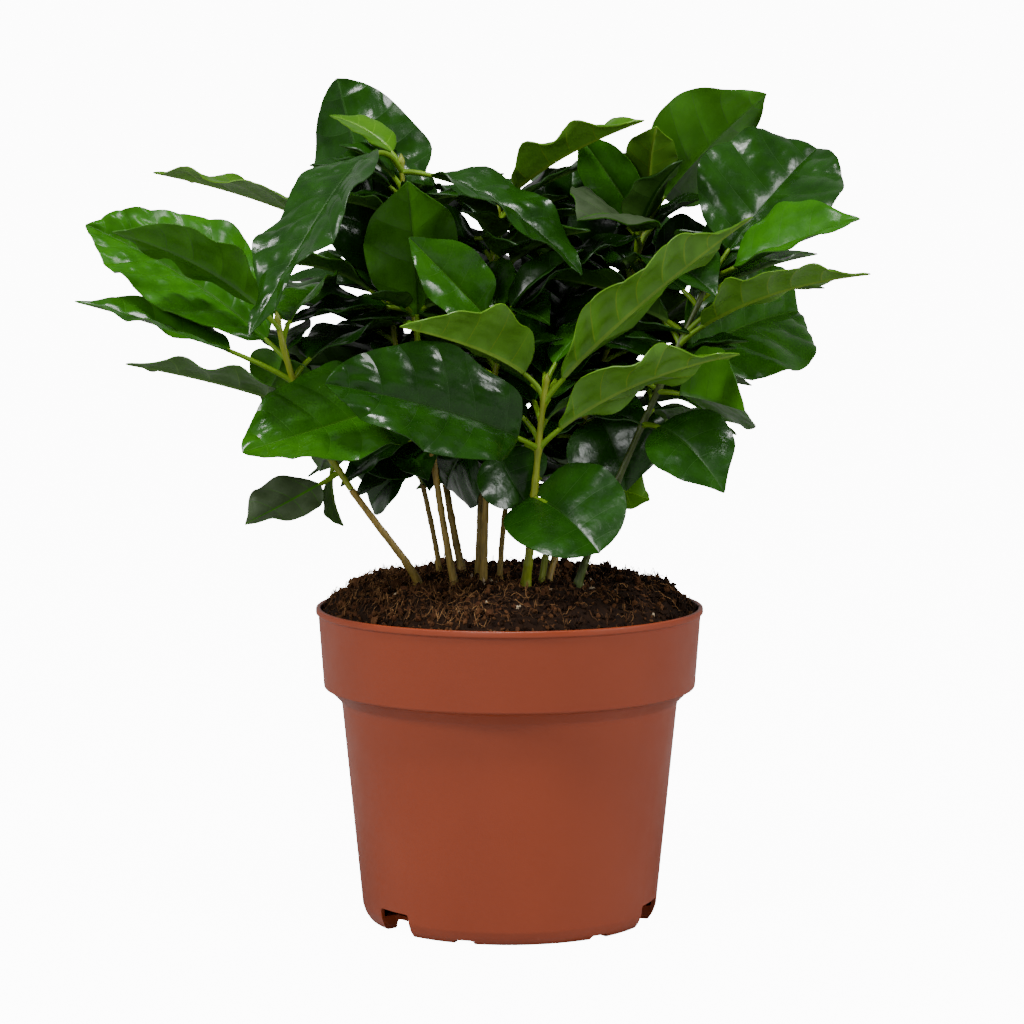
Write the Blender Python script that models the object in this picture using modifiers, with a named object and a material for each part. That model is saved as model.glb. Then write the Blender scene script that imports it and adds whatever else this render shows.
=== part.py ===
"""Potted coffee plant: eleven coffee seedlings growing as one bushy clump in a 12 cm nursery pot.

Run with  blender --background --python part.py  or from Blender's text editor.
Sizes in this file are millimetres and angles are degrees; MM turns millimetres into metres.
The origin is on the pot's axis at the level of the surface it stands on, +Z is up,
-Y is the front and +X is the right-hand side seen from the front.
"""

import math
import random
from collections import namedtuple

import bmesh
import bpy
from mathutils import Matrix, Vector
from mathutils.bvhtree import BVHTree

MM = 0.001
GAP = 0.3                      # clearance between neighbouring solids
MERGE = 0.002                  # points closer than this are one point

# Pot
POT_HEIGHT = 97.8
RIM_RADIUS = 60.0
LIP_HEIGHT = 1.9               # rounded bead round the rim
LIP_DEPTH = 0.4                # how far the bead stands out
COLLAR_BOTTOM = 72.7           # height of the collar's lower edge
COLLAR_FOOT_RADIUS = 58.0
SHOULDER_HEIGHT = 68.5         # where the sloping shoulder under the collar meets the body
SHOULDER_RADIUS = 52.4
BODY_FOOT_HEIGHT = 4.2
BODY_FOOT_RADIUS = 46.2
ROUNDING = 0.6                 # the small rounding of the moulded edges
WALL = 1.2
FLOOR_THICKNESS = 1.4
UNDERSIDE = 2.8                # the base is carried this far above the ground by its feet
FOOT_OUTER_RADIUS = 44.4
FOOT_INNER_RADIUS = 40.4
FOOT_SLOPE = 0.4
PAD_RADIUS = 9.0               # level pad at the middle of the underside
POT_SEGMENTS = 48

# Feet and drain notches round the base: a wide foot with a short one on each side, three
# times round, and a notch half way between the wide feet
FOOT_GROUPS = 3
FOOT_CENTRE_TURN = -80.0       # direction of the first wide foot, in degrees from +X
SLOT_OFFSET = 28.0             # a narrow slot lies this far to each side of a wide foot
SLOT_WIDTH = 6.5
SLOT_DEPTH = 8.0
SLOT_ROOF = 0.05               # the slots stop just under the base
NOTCH_OFFSET = 60.0
NOTCH_WIDTH = 13.4
NOTCH_HEIGHT = 7.2
NOTCH_DEPTH = 15.0
NOTCH_INSET = 1.0              # a notch starts this far inside the feet

# Soil
SOIL_EDGE_HEIGHT = 96.8
SOIL_HEAP = 9.5               # how far the middle stands above the edge
SOIL_ROUNDNESS = 6             # a higher power gives a flatter middle and a steeper edge
SOIL_CLEARANCE = 0.35
SOIL_RINGS = 6

# Seedling stems
STEM_SIDES = 6
COLLAR_STRAIGHT = 1.5          # the first stretch above the flat cut is upright
FLARE = 1.35                   # swelling of the stem at the soil
TIP_RADIUS = 0.75
TAPER = 0.8                    # under 1, most of the taper is low on the stem
STEM_STEPS = 7
SHOOT_STEPS = 8
CUT_STRAIGHT = 0.8             # the two faces at a shoot's joint are parallel over this length
LENGTH_STEPS = 20              # steps that a stem's length is measured in

# Leaves
LEAF_THICKNESS = 1.0
PETIOLE = 9.0
PETIOLE_SHARE = 0.2            # a small leaf's petiole is no more than this share of it
PETIOLE_HALF_WIDTH = 0.8
LONG_STALK = 0.3               # share of its length that a stalked leaf's petiole takes
BLADE_STATIONS = (0.12, 0.34, 0.6, 0.84, 1.0)
DIRECTION_STEP = 0.01          # share of the length over which a leaf's direction is taken

# A long blade's outline: a rounded body and a drawn-out drip tip
BODY_END = 0.93                # share of the blade that the body takes
BODY_SHIFT = 0.92              # under 1 moves the widest place towards the stem
BODY_SQUARENESS = 2.2
BODY_FULLNESS = 0.85
DRIP_TIP = 2.6                 # half width that the drip tip adds near the stem
DRIP_TAPER = 0.8
DRIP_START = 6                 # the drip tip's width starts over the first sixth
EDGE_MINIMUM = 0.25            # the outline never closes quite to a point

# A round blade's outline
ROUND_MIDDLE = 0.9             # twice the share at which it is widest
ROUND_SQUARENESS = 2.4
ROUND_END = 1.3                # over 1 keeps its end blunt
ROUND_FULLNESS = 0.6
ROUND_LOBE = 0.22              # its base reaches back past the stalk by this share

# How much one leaf differs from the next: each is drawn from its range
FOLD_RANGE = (10, 26)          # how steeply the two halves rise from the midrib
TWIST = 14                     # the most that a blade turns from stem to tip
TWIST_CENTRE = 0.35            # share of its length where a leaf is not twisted
SWAY = 0.05                    # sideways bow of the midrib as a share of the length
RIPPLE_RANGE = (0.6, 1.5)      # height of the waves along the margin
RIPPLES = 2.6                  # waves along one margin
RIPPLE_LEAN = 0.2              # shift of the waves from one margin to the other
RIPPLE_WIDTH = 6               # the waves fade where the half blade is narrower than this

# Placing leaves
CLEARANCE = 0.9                # room kept round a leaf when it is placed
TREE_STEPS = 24                # steps along a stem when its room is worked out
MAX_LEAVES = 98
SEED = 41
ROLL_TRIES = (0, 12, -12, 24, -24)
SWING_TRIES = (0, 6, -6, 12, -12, 18, -18, 26, -26)

GREEN = (0.045, 0.115, 0.02, 1.0)
STEM_BROWN = (0.2, 0.14, 0.045, 1.0)
TERRACOTTA = (0.29, 0.06, 0.025, 1.0)
PEAT = (0.02, 0.011, 0.006, 1.0)

# Each seedling: where it leaves the soil, two handles that bend it, its tip, its radius
# at the soil, and the share of its length below its leafy shoot.
Seedling = namedtuple("Seedling", "foot low_handle high_handle tip radius bare")
SEEDLINGS = (
    Seedling((-28, -22), (-32, -24, 119), (-63, -30, 147), (-69, -34, 187), 1.35, 0.50),
    Seedling((-22, 5), (-24, 5, 127), (-33, 4, 152), (-39, 0, 207), 0.9, 0.40),
    Seedling((-17, -20), (-21, -20, 127), (-30, -10, 184), (-33, -5, 234), 1.2, 0.42),
    Seedling((-15, 8), (-20, 12, 130), (-25, 25, 160), (-29, 40, 211), 1.3, 0.36),
    Seedling((-10, 0), (-9, 0, 131), (-8, 5, 177), (-3, 10, 223), 0.9, 0.38),
    Seedling((-8, -23), (-7, -23, 133), (-7, -20, 163), (-2, -15, 185), 1.15, 0.40),
    Seedling((-3, -4), (-2, 0, 131), (3, 25, 160), (16, 45, 212), 0.9, 0.36),
    Seedling((5, -22), (7, -24, 121), (8, -27, 149), (11, -27, 168), 1.5, 0.40),
    Seedling((10, -18), (12, -16, 126), (25, -5, 162), (44, 12, 219), 1.1, 0.36),
    Seedling((12, -16), (17, -10, 126), (35, 20, 161), (48, 40, 195), 1.1, 0.32),
    Seedling((21, -24), (24, -24, 119), (40, -20, 157), (62, -12, 201), 1.35, 0.45),
)

# A leaf: its seedling, how far up that it sits, the compass turn and the rise of the line
# to its tip, that line's length, the blade's width, its roll about that line (0 is upper
# face up) and how far it arches. early under 1 moves the arch's top towards the stem.
Leaf = namedtuple("Leaf", "stem at turn rise reach width roll arch early kind")
LONG, ROUND, STALKED = "long", "round", "stalked"


def leaf(stem, at, turn, rise, reach, width, roll, arch, early=0.85, kind=LONG):
    return Leaf(stem, at, turn, rise, reach, width, roll, arch, early, kind)


# The leaves that give the front of the crown its look. The others follow by rule.
MAIN_LEAVES = (
    leaf(8, 0.70, -152, 17, 74, 36, -69, 5),
    leaf(8, 0.70, -24, 25, 71, 22, -22, 5),
    leaf(8, 0.92, -140, 24, 60, 32, 13, 7, 0.6),
    leaf(8, 0.92, -30, 39, 89, 23, -17, 5),
    leaf(8, 0.47, -52, -24, 34, 37, 36, 3, 0.85, ROUND),
    leaf(1, 0.99, -161, 30, 58, 22, 27, 4),
    leaf(3, 0.99, -124, -32, 89, 28, 8, 14, 0.5),
    leaf(3, 0.99, -20, -28, 66, 22, 13, 6),
    leaf(2, 0.91, 142, 81, 49, 38, -49, 5),
    leaf(2, 1.00, 118, 59, 64, 43, 126, 4),
    leaf(3, 0.64, -97, 68, 54, 30, 18, 4),
    leaf(6, 0.97, -159, 45, 42, 22, -77, 3),
    leaf(1, 0.91, 153, 29, 82, 38, -42, 3),
    leaf(3, 0.53, -137, -10, 72, 38, -37, 5),
    leaf(1, 0.77, -155, 15, 58, 22, 8, 1),
    leaf(1, 0.85, -177, 20, 70, 22, -22, 3, 0.85, STALKED),
    leaf(2, 0.99, 168, 20, 79, 26, 6, 4),
    leaf(1, 0.57, -144, -23, 36, 20, -28, -2),
    leaf(1, 0.60, 101, -67, 22, 12, -97, 2),
    leaf(1, 0.94, 138, -60, 19, 24, 67, 3),
    leaf(2, 0.48, -148, 5, 26, 24, -50, 4),
    leaf(2, 0.47, 159, -39, 21, 22, -59, 4),
    leaf(11, 1.00, 38, 42, 58, 46, 35, 4),
    leaf(9, 0.99, 14, 46, 55, 42, -57, 4),
    leaf(11, 0.99, -13, 22, 50, 32, 28, 2),
    leaf(8, 0.96, 85, 28, 76, 34, 6, 3),
    leaf(9, 0.94, -113, 10, 53, 28, -21, 6),
    leaf(9, 0.97, -174, 55, 37, 16, -105, 4),
    leaf(5, 0.99, -20, 27, 58, 25, 3, 3),
    leaf(11, 0.84, -33, 19, 68, 24, -11, 5),
    leaf(11, 0.77, 30, 16, 61, 46, 57, 4),
    leaf(11, 0.72, -44, -7, 35, 32, -55, 3),
    leaf(11, 0.63, -41, -28, 39, 26, 32, 6),
    leaf(9, 0.91, -48, -13, 41, 24, 20, 5),
    leaf(9, 0.61, -35, -63, 30, 34, 40, 4),
    leaf(10, 0.37, -10, -7, 22, 24, 36, 3),
    leaf(6, 0.58, 117, -34, 36, 30, -107, 3),
    leaf(6, 0.55, -20, -60, 24, 24, 60, 3),
    leaf(7, 0.94, -30, 77, 32, 32, 127, 4),
    leaf(10, 0.65, 133, 74, 35, 34, -57, 3),
    leaf(5, 0.92, 165, -12, 32, 24, -60, 3),
    leaf(9, 0.91, 20, 8, 30, 24, 55, 3),
)

# The rule's leaves fill the seedlings in this order, with opposite leaves at each node and
# each pair crossing the one below.
RULE_ORDER = (7, 4, 10, 5, 2, 9, 3, 11, 6, 1, 8)
# Rounds of the rule: nodes to a shoot, share of a node's spacing below the first, leaf size.
ROUNDS = ((5, 0.5, 1.0), (5, 0.95, 0.7))
STEM_TURN = 47.0               # from one seedling's lowest pair to the next one's
PAIR_TURN = 90.0
OPPOSITE_TURN = 180.0
REACH_RANGE = (46.0, 80.0)
RISE_RANGE = (-22.0, 48.0)     # from the lowest node to the top one
RISE_LOOSE = 15.0
ROLL_LOOSE = 25.0
WIDTH_SHARE = (0.40, 0.48)     # a blade's width as a share of its length
ARCH_SHARE = (0.06, 0.16)
EARLY = 0.8
# A leaf that has no room is tried again, looser, lower and smaller each time.
TRIES = 22
TURN_LOOSE = 8.0
LOOSER = 3.0
LOWER = 0.5
SMALLER = 0.015

# The crown's space: how high and how low leaves reach, seen from the front, by X.
CROWN_TOP = ((-118, 214), (-70, 222), (-60, 250), (-44, 255), (-26, 236), (-4, 232),
             (20, 244), (50, 252), (80, 254), (98, 240), (110, 205))
CROWN_BOTTOM = ((-118, 196), (-90, 176), (-72, 142), (-50, 132), (42, 130), (66, 140),
                (80, 168), (98, 186), (110, 200))
CROWN_HALF_DEPTH = 112.0
CROWN_HALF_WIDTH = 122.0
FRONT_LIMIT = -28.0            # the rule keeps its leaves behind this plane
VIEW_DISTANCE = 1000.0         # the crown's outline is true from this far in front
VIEW_HEIGHT = 229.0


# ---------------------------------------------------------------- helpers

def clear_scene():
    for old in list(bpy.data.objects):
        bpy.data.objects.remove(old, do_unlink=True)


def make_collection(name):
    collection = bpy.data.collections.new(name)
    bpy.context.scene.collection.children.link(collection)
    return collection


def make_material(name, colour, roughness):
    material = bpy.data.materials.new(name)
    material.use_nodes = True
    shader = material.node_tree.nodes["Principled BSDF"]
    shader.inputs["Base Color"].default_value = colour
    shader.inputs["Roughness"].default_value = roughness
    shader.inputs["Metallic"].default_value = 0.0
    return material


def add_object(name, data, collection, material=None):
    piece = bpy.data.objects.new(name, data)
    collection.objects.link(piece)
    if material:
        data.materials.append(material)
    return piece


def evaluated_mesh(piece):
    """A new mesh with the object's modifiers applied."""
    bpy.context.view_layer.update()
    graph = bpy.context.evaluated_depsgraph_get()
    return bpy.data.meshes.new_from_object(piece.evaluated_get(graph))


def weld(mesh):
    work = bmesh.new()
    work.from_mesh(mesh)
    bmesh.ops.remove_doubles(work, verts=work.verts, dist=MERGE * MM)
    work.to_mesh(mesh)
    work.free()


def turned(name, profile, collection, material):
    """A profile of (radius, height) points turned round the Z axis."""
    mesh = bpy.data.meshes.new(name)
    points = [(radius * MM, 0.0, height * MM) for radius, height in profile]
    edges = [(i, i + 1) for i in range(len(points) - 1)]
    mesh.from_pydata(points, edges, [])
    piece = add_object(name, mesh, collection, material)
    screw = piece.modifiers.new("Turn", "SCREW")
    screw.steps = POT_SEGMENTS
    screw.render_steps = POT_SEGMENTS
    screw.use_merge_vertices = True
    screw.merge_threshold = MERGE * MM
    return piece


def lerp(a, b, share):
    return a + (b - a) * share


def read_line(points, x):
    """Height at x of a line through (x, height) points, or None past its ends."""
    for (x0, z0), (x1, z1) in zip(points, points[1:]):
        if x0 <= x <= x1:
            return lerp(z0, z1, (x - x0) / (x1 - x0))
    return None


# ---------------------------------------------------------------- pot and soil

def body_radius(height):
    share = (height - BODY_FOOT_HEIGHT) / (SHOULDER_HEIGHT - BODY_FOOT_HEIGHT)
    return lerp(BODY_FOOT_RADIUS, SHOULDER_RADIUS, share)


def pot_inside():
    """The pot's inner wall, from its floor up to the lip."""
    floor = UNDERSIDE + FLOOR_THICKNESS
    return [
        (body_radius(floor) - WALL, floor),
        (SHOULDER_RADIUS - WALL, SHOULDER_HEIGHT + ROUNDING),
        (COLLAR_FOOT_RADIUS - WALL, COLLAR_BOTTOM + ROUNDING),
        (RIM_RADIUS - WALL - ROUNDING, POT_HEIGHT - LIP_HEIGHT),
    ]


def pot_profile():
    """The pot's half section: up the inside from the middle of its floor, down the outside."""
    inside = pot_inside()
    return [(0.0, inside[0][1])] + inside + [
        (RIM_RADIUS - WALL + ROUNDING / 2, POT_HEIGHT),
        (RIM_RADIUS, POT_HEIGHT),
        (RIM_RADIUS + LIP_DEPTH, POT_HEIGHT - 0.4 * LIP_HEIGHT),
        (RIM_RADIUS + LIP_DEPTH / 2, POT_HEIGHT - 0.8 * LIP_HEIGHT),
        (RIM_RADIUS - ROUNDING, POT_HEIGHT - LIP_HEIGHT),
        (COLLAR_FOOT_RADIUS, COLLAR_BOTTOM + ROUNDING),
        (COLLAR_FOOT_RADIUS - ROUNDING, COLLAR_BOTTOM),
        (SHOULDER_RADIUS + ROUNDING, SHOULDER_HEIGHT + ROUNDING),
        (SHOULDER_RADIUS, SHOULDER_HEIGHT - ROUNDING),
        (BODY_FOOT_RADIUS, BODY_FOOT_HEIGHT),
        (BODY_FOOT_RADIUS - ROUNDING, UNDERSIDE + ROUNDING),
        (BODY_FOOT_RADIUS - 2 * ROUNDING, UNDERSIDE),
        (FOOT_OUTER_RADIUS + FOOT_SLOPE, UNDERSIDE),
        (FOOT_OUTER_RADIUS, 0.0),
        (FOOT_INNER_RADIUS, 0.0),
        (FOOT_INNER_RADIUS - FOOT_SLOPE, UNDERSIDE),
        (PAD_RADIUS + FOOT_SLOPE, UNDERSIDE),
        (PAD_RADIUS, 0.0),
        (0.0, 0.0),
    ]


def add_cutter(name, radius, turn, size, collection):
    """A box whose centre stands on the ground plane at a radius and a compass turn."""
    bpy.ops.mesh.primitive_cube_add(size=1.0)
    cutter = bpy.context.active_object
    cutter.name = name
    for owner in list(cutter.users_collection):
        owner.objects.unlink(cutter)
    collection.objects.link(cutter)
    angle = math.radians(turn)
    cutter.location = (radius * math.cos(angle) * MM, radius * math.sin(angle) * MM, 0.0)
    cutter.rotation_euler = (0.0, 0.0, angle)
    cutter.scale = [length * MM for length in size]
    cutter.hide_render = True
    cutter.display_type = "WIRE"


def build_pot(parts, cutters, material):
    pot = turned("pot", pot_profile(), parts, material)
    slot_radius = (FOOT_OUTER_RADIUS + FOOT_INNER_RADIUS) / 2
    slot_size = (SLOT_DEPTH, SLOT_WIDTH, 2 * (UNDERSIDE - SLOT_ROOF))
    notch_radius = FOOT_INNER_RADIUS - NOTCH_INSET + NOTCH_DEPTH / 2
    notch_size = (NOTCH_DEPTH, NOTCH_WIDTH, 2 * NOTCH_HEIGHT)
    for group in range(FOOT_GROUPS):
        centre = FOOT_CENTRE_TURN + group * 360.0 / FOOT_GROUPS
        for side in (-1, 1):
            turn = centre + side * SLOT_OFFSET
            add_cutter(f"slot_cutter_{group}_{side + 1}", slot_radius, turn, slot_size, cutters)
        turn = centre + NOTCH_OFFSET
        add_cutter(f"notch_cutter_{group}", notch_radius, turn, notch_size, cutters)
    cut = pot.modifiers.new("Slots and notches", "BOOLEAN")
    cut.operation = "DIFFERENCE"
    cut.operand_type = "COLLECTION"
    cut.collection = cutters
    cut.solver = "EXACT"


def soil_edge_radius():
    return RIM_RADIUS - WALL - ROUNDING - SOIL_CLEARANCE


def soil_height(x, y):
    radius = min(math.hypot(x, y) / soil_edge_radius(), 1.0)
    return SOIL_EDGE_HEIGHT + SOIL_HEAP * (1.0 - radius ** SOIL_ROUNDNESS)


def build_soil(parts, material):
    """The heap on top, then the sides and floor, which follow the pot's inner wall."""
    edge = soil_edge_radius()
    rings = [edge * ring / SOIL_RINGS for ring in range(SOIL_RINGS + 1)]
    heap = [(radius, soil_height(radius, 0.0)) for radius in rings]
    floor, shoulder, collar, _ = [(radius - SOIL_CLEARANCE, height + SOIL_CLEARANCE)
                                  for radius, height in pot_inside()]
    turned("soil", heap + [collar, shoulder, floor, (0.0, floor[1])], parts, material)


# ---------------------------------------------------------------- stems

def stem_foot(seedling):
    """The foot's middle, clear of the soil on the uphill side too."""
    x, y = seedling.foot
    out = math.hypot(x, y)
    uphill = max(0.0, 1.0 - seedling.radius * FLARE / out)
    return Vector((x, y, soil_height(x * uphill, y * uphill) + GAP))


def stem_point(seedling, share):
    start = stem_foot(seedling) + Vector((0, 0, COLLAR_STRAIGHT))
    low, high, tip = Vector(seedling.low_handle), Vector(seedling.high_handle), Vector(seedling.tip)
    rest = 1.0 - share
    return (start * rest ** 3 + low * 3 * rest ** 2 * share
            + high * 3 * rest * share ** 2 + tip * share ** 3)


def stem_radius(seedling, share):
    return lerp(seedling.radius, TIP_RADIUS, share ** TAPER)


def stem_length(seedling):
    points = [stem_point(seedling, step / LENGTH_STEPS) for step in range(LENGTH_STEPS + 1)]
    return sum((b - a).length for a, b in zip(points, points[1:]))


def tube(name, points, radii, collection, material):
    """A closed tube mesh made from a curve through points in millimetres."""
    curve = bpy.data.curves.new(name, "CURVE")
    curve.dimensions = "3D"
    curve.bevel_depth = MM
    curve.bevel_resolution = STEM_SIDES // 2 - 2
    curve.use_fill_caps = True
    spline = curve.splines.new("POLY")
    spline.points.add(len(points) - 1)
    for slot, point, radius in zip(spline.points, points, radii):
        slot.co = (*(point * MM), 1.0)
        slot.radius = radius
    guide = add_object(name + "_curve", curve, collection)
    mesh = evaluated_mesh(guide)
    bpy.data.objects.remove(guide, do_unlink=True)
    mesh.name = name
    mesh.materials.clear()
    weld(mesh)
    return add_object(name, mesh, collection, material)


def build_stem(number, seedling, parts, material):
    """The bare stem, from its flat cut at the soil to just below the shoot."""
    straight = CUT_STRAIGHT / stem_length(seedling)
    shares = [seedling.bare * step / STEM_STEPS for step in range(STEM_STEPS)]
    shares += [seedling.bare - straight, seedling.bare]
    points = [stem_foot(seedling)] + [stem_point(seedling, share) for share in shares]
    radii = [seedling.radius * FLARE] + [stem_radius(seedling, share) for share in shares]
    tube(f"stem_{number:02d}", points, radii, parts, material)


def shoot_axis(seedling):
    """Points and radii of the green stem inside a shoot."""
    unit = 1.0 / stem_length(seedling)
    start = seedling.bare + GAP * unit
    shares = [start, start + CUT_STRAIGHT * unit]
    shares += [lerp(start, 1.0, step / SHOOT_STEPS) for step in range(1, SHOOT_STEPS + 1)]
    points = [stem_point(seedling, share) for share in shares]
    radii = [stem_radius(seedling, share) for share in shares]
    return points, radii


# ---------------------------------------------------------------- leaves

def blade_half_width(width, share, kind):
    """Half the blade's width at a share of its length."""
    if kind == ROUND:
        off_middle = abs(2 * share - ROUND_MIDDLE) ** ROUND_SQUARENESS / ROUND_END
        return 0.5 * width * (1.0 - off_middle) ** ROUND_FULLNESS
    body = 0.0
    if share < BODY_END:
        off_middle = abs(2 * (share / BODY_END) ** BODY_SHIFT - 1.0) ** BODY_SQUARENESS
        body = (1.0 - off_middle) ** BODY_FULLNESS
    drip = DRIP_TIP * (1.0 - share) ** DRIP_TAPER * min(1.0, DRIP_START * share)
    return 0.5 * width * body + drip + EDGE_MINIMUM


class LeafShape:
    """The surface of one leaf, in millimetres, from its stem to its tip."""

    def __init__(self, row, seedling, spice):
        self.row = row
        self.base = stem_point(seedling, row.at)
        turn, rise = math.radians(row.turn), math.radians(row.rise)
        line = Vector((math.cos(rise) * math.cos(turn), math.cos(rise) * math.sin(turn),
                       math.sin(rise)))
        self.line = line * row.reach
        up = Vector((0, 0, 1))
        up = (up - line * up.dot(line)).normalized()
        self.face = Matrix.Rotation(math.radians(row.roll), 3, line) @ up
        self.across = line.cross(self.face)
        self.petiole = min(PETIOLE, PETIOLE_SHARE * row.reach) / row.reach
        if row.kind == STALKED:
            self.petiole = LONG_STALK
        self.fold = math.radians(spice.uniform(*FOLD_RANGE))
        self.twist = math.radians(spice.uniform(-TWIST, TWIST))
        self.sway = spice.uniform(-SWAY, SWAY) * row.reach
        self.ripple = spice.uniform(*RIPPLE_RANGE)
        self.phase = spice.uniform(0, 1)

    def centre(self, share):
        bow = share ** self.row.early
        side = 4 * share * (1 - share) * self.sway
        return (self.base + self.line * share
                + self.face * (4 * bow * (1 - bow) * self.row.arch) + self.across * side)

    def direction(self, share):
        ahead = self.centre(min(share + DIRECTION_STEP, 1.0))
        return (ahead - self.centre(max(share - DIRECTION_STEP, 0.0))).normalized()

    def point(self, share, v):
        """A point at a share of the length and at v across, from -1 to 1."""
        here, run = self.centre(share), self.direction(share)
        normal = (self.face - run * self.face.dot(run)).normalized()
        normal = Matrix.Rotation(self.twist * (share - TWIST_CENTRE), 3, run) @ normal
        side = run.cross(normal)
        if share <= self.petiole:
            return here + side * (v * PETIOLE_HALF_WIDTH)
        blade = (share - self.petiole) / (1 - self.petiole)
        half = blade_half_width(self.row.width, blade, self.row.kind)
        if self.row.kind == ROUND:
            here -= run * (ROUND_LOBE * self.row.reach * v * v * (1 - blade) ** 2)
        wave = math.sin(math.tau * (RIPPLES * blade + self.phase + RIPPLE_LEAN * v))
        lift = abs(v) * half * math.sin(self.fold)
        lift += self.ripple * wave * v * v * min(1, half / RIPPLE_WIDTH)
        return here + side * (v * half * math.cos(self.fold)) + normal * lift

    def stations(self):
        return [0.0, self.petiole] + [lerp(self.petiole, 1.0, share) for share in BLADE_STATIONS]


def leaf_mesh(shape):
    """A grid laid on the leaf's surface and given its thickness, as a mesh."""
    stations = shape.stations()
    rows = len(stations)
    work = bmesh.new()
    bmesh.ops.create_grid(work, x_segments=2, y_segments=rows - 1, size=1.0)
    for vert in work.verts:
        row = round((vert.co.y + 1) / 2 * (rows - 1))
        vert.co = shape.point(stations[row], round(vert.co.x)) * MM
    mesh = bpy.data.meshes.new("leaf")
    work.to_mesh(mesh)
    work.free()
    sheet = bpy.data.objects.new("leaf", mesh)
    bpy.context.scene.collection.objects.link(sheet)
    solid = sheet.modifiers.new("Thickness", "SOLIDIFY")
    solid.thickness = LEAF_THICKNESS * MM
    solid.offset = 0.0
    result = evaluated_mesh(sheet)
    bpy.data.objects.remove(sheet, do_unlink=True)
    return result


def tree_of_rings(points, ring):
    """A search tree of the tube whose rings of points follow one another."""
    faces = []
    for start in range(0, len(points) - ring, ring):
        for side in range(ring):
            a, b = start + side, start + (side + 1) % ring
            faces.append((a, b, b + ring, a + ring))
    faces += [tuple(range(ring)), tuple(range(len(points) - ring, len(points)))]
    return BVHTree.FromPolygons(points, faces)


def leaf_tree(shape, first_station):
    """A search tree of the leaf's outside, grown by the clearance, from one station on."""
    half = LEAF_THICKNESS / 2 + CLEARANCE / 2
    points = []
    for share in shape.stations()[first_station:]:
        left, middle, right = (shape.point(share, v) for v in (-1, 0, 1))
        normal = (right - left).cross(shape.direction(share)).normalized()
        points += [place + normal * half for place in (left, middle, right)]
        points += [place - normal * half for place in (right, middle, left)]
    return tree_of_rings(points, 6)


def stem_tree(seedling):
    """A search tree of a whole stem, grown by half the clearance."""
    points = []
    for step in range(TREE_STEPS + 1):
        share = step / TREE_STEPS
        centre = stem_point(seedling, share)
        radius = stem_radius(seedling, share) + CLEARANCE / 2
        for side in range(STEM_SIDES):
            angle = math.tau * side / STEM_SIDES
            points.append(centre + Vector((math.cos(angle), math.sin(angle), 0)) * radius)
    return tree_of_rings(points, STEM_SIDES)


class Crown:
    """Places leaves one by one and keeps each clear of the others and of the stems."""

    def __init__(self):
        self.stems = [stem_tree(seedling) for seedling in SEEDLINGS]
        self.placed = []

    def is_clear(self, shape):
        whole, blade = leaf_tree(shape, 0), leaf_tree(shape, 2)
        own = shape.row.stem - 1
        for number, stem in enumerate(self.stems):
            if (blade if number == own else whole).overlap(stem):
                return False
        for other, other_whole, other_blade in self.placed:
            if other.row.stem != shape.row.stem:
                if whole.overlap(other_whole):
                    return False
            elif blade.overlap(other_whole) or whole.overlap(other_blade):
                return False
        return True

    def place(self, candidates, in_space=None):
        """Keep the first candidate that is clear, or none."""
        for shape in candidates:
            if in_space and not in_space(shape):
                continue
            if self.is_clear(shape):
                self.placed.append((shape, leaf_tree(shape, 0), leaf_tree(shape, 2)))
                return


def main_candidates(index, row):
    """A main leaf as given, then swung a little to the front or the back and rolled a little."""
    seedling = SEEDLINGS[row.stem - 1]
    forward = 1 if math.cos(math.radians(row.turn)) > 0 else -1
    for roll in ROLL_TRIES:
        for swing in SWING_TRIES:
            turned_row = row._replace(turn=row.turn + swing * forward, roll=row.roll + roll)
            yield LeafShape(turned_row, seedling, random.Random(SEED * 1000 + index))


def rule_candidates(stem, lap, node, side):
    """Tries for the leaf on one side of a node."""
    spice = random.Random(SEED * 7919 + stem * 101 + lap * 37 + node * 5 + side)
    seedling = SEEDLINGS[stem - 1]
    nodes, first, size = ROUNDS[lap]
    share = (node + first) / nodes
    at = lerp(seedling.bare, 1.0, share)
    for attempt in range(TRIES):
        loose = TURN_LOOSE + LOOSER * attempt
        turn = STEM_TURN * stem + PAIR_TURN * node + OPPOSITE_TURN * side
        turn += spice.uniform(-loose, loose)
        rise = lerp(*RISE_RANGE, share) + spice.uniform(-RISE_LOOSE, RISE_LOOSE)
        rise -= LOWER * attempt
        reach = size * spice.uniform(*REACH_RANGE) * (1 - SMALLER * attempt)
        width = reach * spice.uniform(*WIDTH_SHARE)
        arch = reach * spice.uniform(*ARCH_SHARE)
        roll = spice.uniform(-ROLL_LOOSE, ROLL_LOOSE)
        row = leaf(stem, at, turn, rise, reach, width, roll, arch, EARLY)
        yield LeafShape(row, seedling, spice)


def in_crown(shape):
    """True where the leaf stays in the crown's space."""
    edges = [shape.point(share, v) for share in shape.stations()[2:] for v in (-1, 0, 1)]
    for point in edges:
        if point.y < FRONT_LIMIT:
            return False
        if (point.x / CROWN_HALF_WIDTH) ** 2 + (point.y / CROWN_HALF_DEPTH) ** 2 > 1:
            return False
        nearer = VIEW_DISTANCE / (VIEW_DISTANCE + point.y)
        x, z = point.x * nearer, VIEW_HEIGHT + (point.z - VIEW_HEIGHT) * nearer
        top, bottom = read_line(CROWN_TOP, x), read_line(CROWN_BOTTOM, x)
        if top is None or bottom is None or not bottom <= z <= top:
            return False
    return True


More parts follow.
